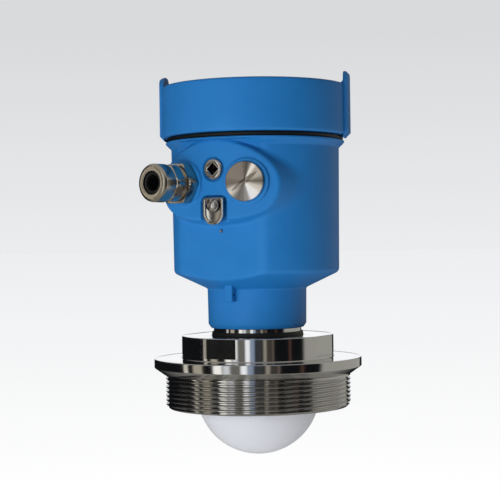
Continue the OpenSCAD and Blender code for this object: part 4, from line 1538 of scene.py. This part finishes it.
@dataclass
class EarthTerminal:
    """The earth terminal: a dished clamp plate, its pan-head screw, a spring washer and the pin under it."""

    thick: float = 1.6
    rim: float = 1.1
    dish: float = 0.75
    corner_r: float = 1.4
    shank_r: float = 2.0
    head_r: float = 3.1
    head_h: float = 1.9
    crown: float = 0.95
    slot_half: float = 0.42
    slot_depth: float = 1.1
    slot_turn: float = 62.0
    run_gap: float = 0.3

    def __post_init__(self) -> None:
        """Takes the plate's place and the screw's axis from the frame."""
        low, high = node_box("earth_clamp")
        self.half_w = (high[0] - low[0]) / 2
        self.low, self.top = low[2], high[2]
        self.front, self.back = -low[1], -high[1]
        low, high = node_box("earth_screw")
        self.screw_z = (low[2] + high[2]) / 2
        self.head_top, self.screw_end = -low[1], -high[1]

    def clamp(self) -> Skin:
        """Makes the plate: a round-footed outline, its raised rim, the dish inside and the screw's hole.

        Returns:
            The skin. Its rings are the outline, moved in step by step, then the circle of the hole. A lip at
            the plate's top bends back to the housing.
        """
        half, foot_r, hole_r = self.half_w, self.half_w * 0.98, self.shank_r + self.run_gap
        bends = (foot_r, foot_r, self.corner_r, self.corner_r)
        outline = even(four_sided((-half, self.low), (half, self.top), bends, 16), 0.8)
        angle = np.arctan2(outline[:, 1] - self.screw_z, outline[:, 0])
        hole = np.stack([hole_r * np.cos(angle), self.screw_z + hole_r * np.sin(angle)], 1)
        back, front, sunk = self.front - self.thick, self.front, self.front - self.dish
        rim = self.rim
        steps = [(0.3, back), (0.0, back + 0.3), (0.0, front - 0.4), (0.12, front - 0.12), (0.4, front),
                 (rim, front), (rim + 0.3, front - 0.1), (rim + 0.6, sunk + 0.1), (rim + 0.9, sunk)]
        rings = [(inset(outline, d)[0], h) for d, h in steps] + [(hole, sunk), (hole, back)]
        flat = np.stack([ring for ring, _ in rings])
        depth = np.array([h for _, h in rings])[:, None] + 0 * flat[..., 0]
        skin = Skin("dished_clamp").ring(np.stack([flat[..., 0], -depth, flat[..., 1]], -1))
        side = half - 0.3
        lip = four_sided((-side, self.top - self.thick), (side, self.top), (0.3,) * 4)
        return skin.tube(block(lip, self.back, back + 0.2, 0.2, front_spot(0.0, 0.0)))

    def screw(self) -> Skin:
        """Makes the screw: its shank and a domed pan head with a slot whose flanks are rounded.

        Returns:
            The skin. The head falls by crown (r / head)^2.6, and by the slot's depth where |across| is small.
        """
        steps, middle = 240, 0.02
        angle = steps_round(steps) - math.radians(self.slot_turn)
        foot = self.head_top - self.head_h
        rings: Rings = [
            (middle, self.screw_end), (self.shank_r - 0.5, self.screw_end),
            (self.shank_r, self.screw_end + 0.5), (self.shank_r, foot), (self.head_r - 0.1, foot),
            (self.head_r, foot + 0.1), (self.head_r, foot + 0.9)]
        for radius in np.linspace(self.head_r, middle, 44):
            domed = self.head_top - self.crown * (radius / self.head_r) ** 2.6
            across = np.abs(radius * np.sin(angle))
            cut = self.slot_depth * (1 - ease(across, self.slot_half - 0.12, self.slot_half + 0.12))
            runs_out = float(ease(radius, self.head_r, self.head_r - 0.2))
            rings.append((float(radius), domed - cut * runs_out))
        return Skin("pan_head_screw").tube(polar(rings, steps, front_spot(0.0, self.screw_z)))

    def washer(self) -> Skin:
        """Makes the split spring washer: a square section carried once round, less its split.

        Returns:
            The skin. Its section stands at every angle of a turn that is 12 degrees short.
        """
        low, high = node_box("earth_spring_washer")
        inner, outer = self.shank_r + self.run_gap, (high[0] - low[0]) / 2
        section = four_sided((inner, -high[1]), (outer, -low[1]), (0.12, 0.2, 0.2, 0.12))
        angle = np.radians(np.linspace(66, 414, 88))[:, None]
        radius, height = section[None, :, 0], section[None, :, 1]
        local = np.stack([radius * np.cos(angle), radius * np.sin(angle), height + 0 * angle], -1)
        return Skin("split_washer").tube(front_spot(0.0, self.screw_z).put(local))

    def pin(self) -> Skin:
        """Makes the seal pin: a plain shank with a round end.

        Returns:
            The skin.
        """
        low, high = node_box("seal_pin")
        radius, tip, middle = (high[0] - low[0]) / 2, -low[1], 0.02
        spot = Spot(((high[0] + low[0]) / 2, 0.0, (high[2] + low[2]) / 2), up=(0.0, 0.0, 1.0))
        turn = np.linspace(0, QUARTER - middle, 9)
        end = np.stack([radius * np.cos(turn), tip - radius + radius * np.sin(turn)], 1)
        line = np.concatenate([[(middle, -high[1]), (radius, -high[1])], end])
        return Skin("round_pin").tube(turned(line, 48, spot))


@dataclass
class SealRing:
    """The rubber ring between flange and cap."""

    inner: float = 44.0
    outer: float = 47.9
    bend: float = 1.25

    def skin(self) -> Skin:
        """Makes the ring with a half-round outer side.

        Returns:
            The skin.
        """
        (_, _, low), (_, _, high) = node_box("cap_seal")
        line = four_sided((self.inner, low), (self.outer, high), (0, self.bend, self.bend, 0), 8)
        return Skin("cap_ring").ring(turned(line, 192))


# ---------------------------------------------------------------- studio


class Ray(Enum):
    """The rays that see the studio in a way of their own."""

    CAMERA = "Is Camera Ray"
    GLOSSY = "Is Glossy Ray"
    THROUGH = "Is Transmission Ray"


@dataclass(frozen=True)
class Panel:
    """An upright strip on the room's wall: direction, half width and soft edge in degrees, light, colour."""

    turn: float
    half: float
    edge: float
    light: float
    colour: str


@dataclass(frozen=True)
class Lamp:
    """A soft square lamp: degrees to the camera's right, height, distance and side in metres, and watts."""

    name: str
    turn: float
    height: float
    away: float
    side: float
    power: float


@dataclass
class Studio:
    """A pale room with soft lamps. Its walls hold bright and dark strips, which only polished metal shows.

    The camera's turn, tilt and roll are in degrees, its distance and heights in metres and its lens in
    millimetres. Each pair of colours belongs to the start and the end of a blend, and each span says where
    the blend starts and ends.
    """

    camera_turn: float = 29.0
    distance: float = 0.763
    eye_height: float = 0.068
    tilt: float = 0.12
    roll: float = 0.8
    lens: float = 100.8
    shift: float = -0.0130
    rise: float = 0.0016
    floor_z: float = -0.12
    floor_side: float = 60.0
    lamps: tuple[Lamp, ...] = (
        Lamp("key_lamp", -32, -0.02, 0.8, 0.4, 3.5), Lamp("low_lamp", -18, 0.0, 0.3, 0.12, 0.17))
    lamp_aim: float = 0.06
    backdrop: tuple[str, str] = ("#EBECEE", "#D9DADC")
    backdrop_span: Span = (0.0, 0.15)
    sides: tuple[str, str] = ("#BCBCBC", "#2A2A2A")
    sides_span: Span = (-0.6, 0.45)
    upper: str = "#303030"
    upper_span: Span = (0.0, 0.7)
    ceiling: str = "#C8C8C8"
    ceiling_span: Span = (0.75, 0.9)
    glow: tuple[str, str] = ("#EBECEE", "#FEFEFE")
    glow_slope: float = 0.17
    glow_light: float = 0.975
    pool: Span = (0.76, 0.38)
    pool_span: Span = (0.05, 0.6)
    dark_wall: str = "#16181B"
    over_wall: str = "#B4B2AE"
    under_wall: str = "#94928E"
    wall_end: Span = (0.3, 0.75)
    backlight: tuple[float, float, float, float] = (1.12, 1.13, 1.15, 1.0)
    behind_span: Span = (-0.96, -0.99)
    horizon_span: Span = (0.01, 0.05)
    panels: tuple[Panel, ...] = (
        Panel(113, 40, 4, 0.85, "#C6C5BE"), Panel(-86, 3, 1.5, 1.05, "#F4EEE4"),
        Panel(-69.5, 6, 2, 0.85, "#D8D0C0"), Panel(-45, 5, 1.5, 1.5, "#FFFFFC"),
        Panel(-34.3, 4.5, 3, 1.1, "#F4F8FF"), Panel(-25.3, 5, 2, 0.22, "#F8F4E8"),
        Panel(-15, 4, 1.5, 1.5, "#F8FAFF"), Panel(-8.3, 3.5, 2, 0.62, "#C8DCFF"),
        Panel(1.5, 4.5, 2, 0.07, "#E8EEF8"), Panel(10.5, 2.5, 1.5, 0.48, "#F4ECDC"),
        Panel(17, 3, 2, 0.09, "#E8DCD0"), Panel(22.3, 1.5, 1.5, 0.22, "#F0D8CC"),
        Panel(49, 2, 1.5, 0.11, "#F0B8A8"))

    def __post_init__(self) -> None:
        """Works out which way is the camera's side of the room, and which is its right."""
        turn = math.radians(self.camera_turn)
        self.front = Vector((math.sin(turn), -math.cos(turn), 0.0))
        self.right = Vector((math.cos(turn), math.sin(turn), 0.0))

    def camera(self) -> None:
        """Sets the camera at eye height, looking a little down, turned about its own axis by the roll."""
        data = bpy.data.cameras.new("studio_camera")
        data.lens = self.lens
        data.sensor_width = 36.0
        data.shift_x, data.shift_y = self.shift, self.rise
        data.clip_end = 100.0
        camera = linked("studio_camera", data)
        place = self.front * self.distance + Vector((0, 0, self.eye_height))
        look = Vector((-self.front.x, -self.front.y, -math.tan(math.radians(self.tilt))))
        rolled = Matrix.Rotation(math.radians(-self.roll), 4, "Z")
        camera.matrix_world = self.facing(place, look) @ rolled
        bpy.context.scene.camera = camera

    def facing(self, place: Vector, look: Vector) -> Matrix:
        """Gives the matrix of a camera or a lamp that stands at a place and looks along a direction."""
        return Matrix.Translation(place) @ look.to_track_quat("-Z", "Y").to_matrix().to_4x4()

    def light(self, lamp: Lamp) -> None:
        """Adds a lamp that faces the object and that no metal mirrors.

        Args:
            lamp: The lamp.
        """
        angle = math.radians(self.camera_turn + lamp.turn)
        place = Vector((math.sin(angle) * lamp.away, -math.cos(angle) * lamp.away, lamp.height))
        data = bpy.data.lights.new(lamp.name, "AREA")
        data.size, data.energy = lamp.side, lamp.power
        obj = linked(lamp.name, data)
        obj.matrix_world = self.facing(place, Vector((0, 0, self.lamp_aim)) - place)
        obj.visible_glossy = False

    def world(self) -> None:
        """Makes the room: even to the eye, and to polished metal a wall of upright panels.

        On matte surfaces it throws soft light from the left, little from above the horizon, and a pale
        ceiling's from straight above.
        """
        world = bpy.data.worlds.new("studio_room")
        bpy.context.scene.world = world
        tree = emptied(world)
        way = add(tree, "TexCoord").outputs["Generated"]
        height = add(tree, "SeparateXYZ", {0: way}).outputs["Z"]
        right, ahead = (
            add(tree, "VectorMath", {0: way, 1: axis}, operation="DOT_PRODUCT").outputs["Value"]
            for axis in (self.right, self.front))
        backdrop = blend(tree, height, self.backdrop_span, *map(linear, self.backdrop))
        sides = blend(tree, right, self.sides_span, *map(linear, self.sides))
        room = blend(tree, height, self.upper_span, sides, linear(self.upper))
        room = blend(tree, height, self.ceiling_span, room, linear(self.ceiling))
        wall = self.wall(tree, right, ahead, height)
        seen = add(tree, "Mix", {0: self.any_of(tree, Ray.GLOSSY), 6: room, 7: wall}, data_type="RGBA")
        final = add(tree, "Mix", {
            0: self.any_of(tree, Ray.CAMERA, Ray.THROUGH), 6: seen.outputs[2], 7: backdrop}, data_type="RGBA")
        background = add(tree, "Background", {"Color": final.outputs[2], "Strength": 1.0})
        add(tree, "OutputWorld", {0: background})

    def any_of(self, tree: Tree, *rays: Ray) -> Socket:
        """Tells rays of some kinds from all others.

        Args:
            tree: The node tree.
            *rays: The kinds.

        Returns:
            1 for a ray of these kinds, otherwise 0.
        """
        path = add(tree, "LightPath")
        told, *others = (path.outputs[ray.value] for ray in rays)
        for other in others:
            told = add(tree, "Math", {0: told, 1: other}, operation="MAXIMUM").outputs[0]
        return told

    def wall(self, tree: Tree, right: Socket, ahead: Socket, height: Socket) -> Socket:
        """Paints the panels by compass direction on a dark wall, under a grey ceiling and over a grey floor.

        Straight behind the object the wall is as bright as the backdrop.

        Args:
            tree: The world's nodes.
            right: The part of the ray's direction to the right.
            ahead: Its part towards the camera.
            height: Its upward part.

        Returns:
            The colour.
        """
        angle = add(tree, "Math", {0: right, 1: ahead}, operation="ARCTAN2")
        colour: object = linear(self.dark_wall)
        for panel in self.panels:
            off = add(tree, "Math", {0: angle, 1: math.radians(panel.turn)}, operation="SUBTRACT")
            off = add(tree, "Math", {0: off, 1: math.pi, 2: -math.pi}, operation="WRAP")
            off = add(tree, "Math", {0: off}, operation="ABSOLUTE")
            edge = (math.radians(panel.half + panel.edge), math.radians(panel.half - panel.edge))
            light = [c * panel.light for c in linear(panel.colour)[:3]] + [1.0]
            colour = blend(tree, off, edge, colour, light, interpolation_type="SMOOTHSTEP")
        behind, over = (
            add(tree, "MapRange", {"Value": value, "From Min": start, "From Max": end})
            for value, (start, end) in ((ahead, self.behind_span), (height, self.horizon_span)))
        both = add(tree, "Math", {0: behind, 1: over}, operation="MULTIPLY")
        colour = add(tree, "Mix", {0: both, 6: colour, 7: self.backlight}, data_type="RGBA").outputs[2]
        colour = blend(tree, height, self.wall_end, colour, linear(self.over_wall))
        return blend(tree, height, (-self.wall_end[0], -self.wall_end[1]), colour, linear(self.under_wall))

    def floor(self) -> None:
        """Lays the floor: one sheet, clear from below, that glows through a matte coat.

        To the eye and to polished metal its glow follows the slope of the line of sight, which hides its
        edge, and it takes the object's shadow. To matte surfaces it is pale, and brighter near the object.
        """
        side, z = self.floor_side, self.floor_z
        mesh = bpy.data.meshes.new("studio_floor")
        mesh.from_pydata([(-side, -side, z), (side, -side, z), (side, side, z), (-side, side, z)], [],
                         [(0, 1, 2, 3)])
        floor = linked("studio_floor", mesh)
        material = bpy.data.materials.new("pale_studio_floor")
        tree = emptied(material)
        place = add(tree, "TexCoord").outputs["Object"]
        level = add(tree, "VectorMath", {0: place, 1: (1.0, 1.0, 0.0)}, operation="MULTIPLY")
        reach = add(tree, "VectorMath", {0: level}, operation="LENGTH").outputs["Value"]
        away = add(tree, "Math", {0: reach, 1: self.distance}, operation="ADD")
        slope = add(tree, "Math", {0: self.eye_height - z, 1: away}, operation="DIVIDE")
        share = add(tree, "MapRange", {"Value": slope, "From Min": 0.0, "From Max": self.glow_slope})
        shade = add(tree, "ValToRGB", {"Fac": share}, tuple(zip((0.0, 1.0), self.glow)))
        pool = add(tree, "MapRange", {
            "Value": reach, "From Min": self.pool_span[0], "From Max": self.pool_span[1],
            "To Min": self.pool[0], "To Max": self.pool[1]}, interpolation_type="SMOOTHSTEP")
        seen, sheet = (
            add(tree, "AddShader", {
                0: add(tree, "Emission", {"Color": colour, "Strength": strength}),
                1: add(tree, "BsdfDiffuse", {"Color": linear(coat)})})
            for colour, strength, coat in (
                (shade, self.glow_light, "#6A6A6A"), (linear("#FFFFFF"), pool, "#C8C8C8")))
        to_eye = self.any_of(tree, Ray.CAMERA, Ray.GLOSSY, Ray.THROUGH)
        upper = add(tree, "MixShader", {0: to_eye, 1: sheet, 2: seen})
        below = add(tree, "NewGeometry").outputs["Backfacing"]
        add(tree, "OutputMaterial", {
            0: add(tree, "MixShader", {0: below, 1: upper, 2: add(tree, "BsdfTransparent")})})
        mesh.materials.append(material)
        floor.visible_glossy = False

    def set_up(self) -> None:
        """Sets camera, room, floor and lamps."""
        self.camera()
        self.world()
        self.floor()
        for lamp in self.lamps:
            self.light(lamp)
        bpy.context.scene.view_settings.view_transform = "Standard"


def main() -> None:
    """Builds every piece of the transmitter in order, then the studio, and logs each piece's face count."""
    logging.basicConfig(level=logging.INFO, format="%(message)s")
    casting, cap, neck, earth = HousingCasting(), ScrewCap(), NeckAndLens(), EarthTerminal()
    gland = CableGland(casting.entry_spot(-1))
    entries = EntryFittings(casting.entry_spot(1), casting.vent_spot())
    shop = Workshop()
    shop.prepare(entries.plug_spot, entries.vent_spot, entries.vent_t)
    shop.dress_rest()
    shop.hang(casting.shell(), Slot.PAINT, "housing", 40.0)
    shop.hang(cap.ears(cap.lid()), Slot.PAINT, "cap")
    shop.hang(SealRing().skin(), Slot.RUBBER, "cap_seal")
    shop.hang(ProcessFitting().skin(), Slot.STEEL, "process_fitting", 38.0)
    shop.hang(neck.lens(), Slot.PTFE, "lens")
    shop.hang(neck.sleeve(), Slot.STEEL, "neck_sleeve")
    shop.hang(neck.gasket(), Slot.RUBBER, "neck_gasket")
    shop.hang(gland.body(), Slot.NICKEL, "gland_body", 25.0)
    shop.hang(gland.nut(), Slot.NICKEL, "gland_nut", 25.0)
    shop.hang(gland.seal(), Slot.RUBBER, "gland_seal")
    shop.hang(gland.thrust_ring(), Slot.DARK, "gland_thrust_ring")
    shop.hang(entries.plug(), Slot.PLUG, "blind_plug", 25.0)
    shop.hang(entries.vent(), Slot.FASTENER, "vent_element", 25.0)
    shop.hang(earth.clamp(), Slot.FASTENER, "earth_clamp", 40.0)
    shop.hang(earth.screw(), Slot.FASTENER, "earth_screw", 35.0)
    shop.hang(earth.washer(), Slot.FASTENER, "earth_spring_washer")
    shop.hang(earth.pin(), Slot.FASTENER, "seal_pin")
    Studio().set_up()


if __name__ == "__main__":
    main()
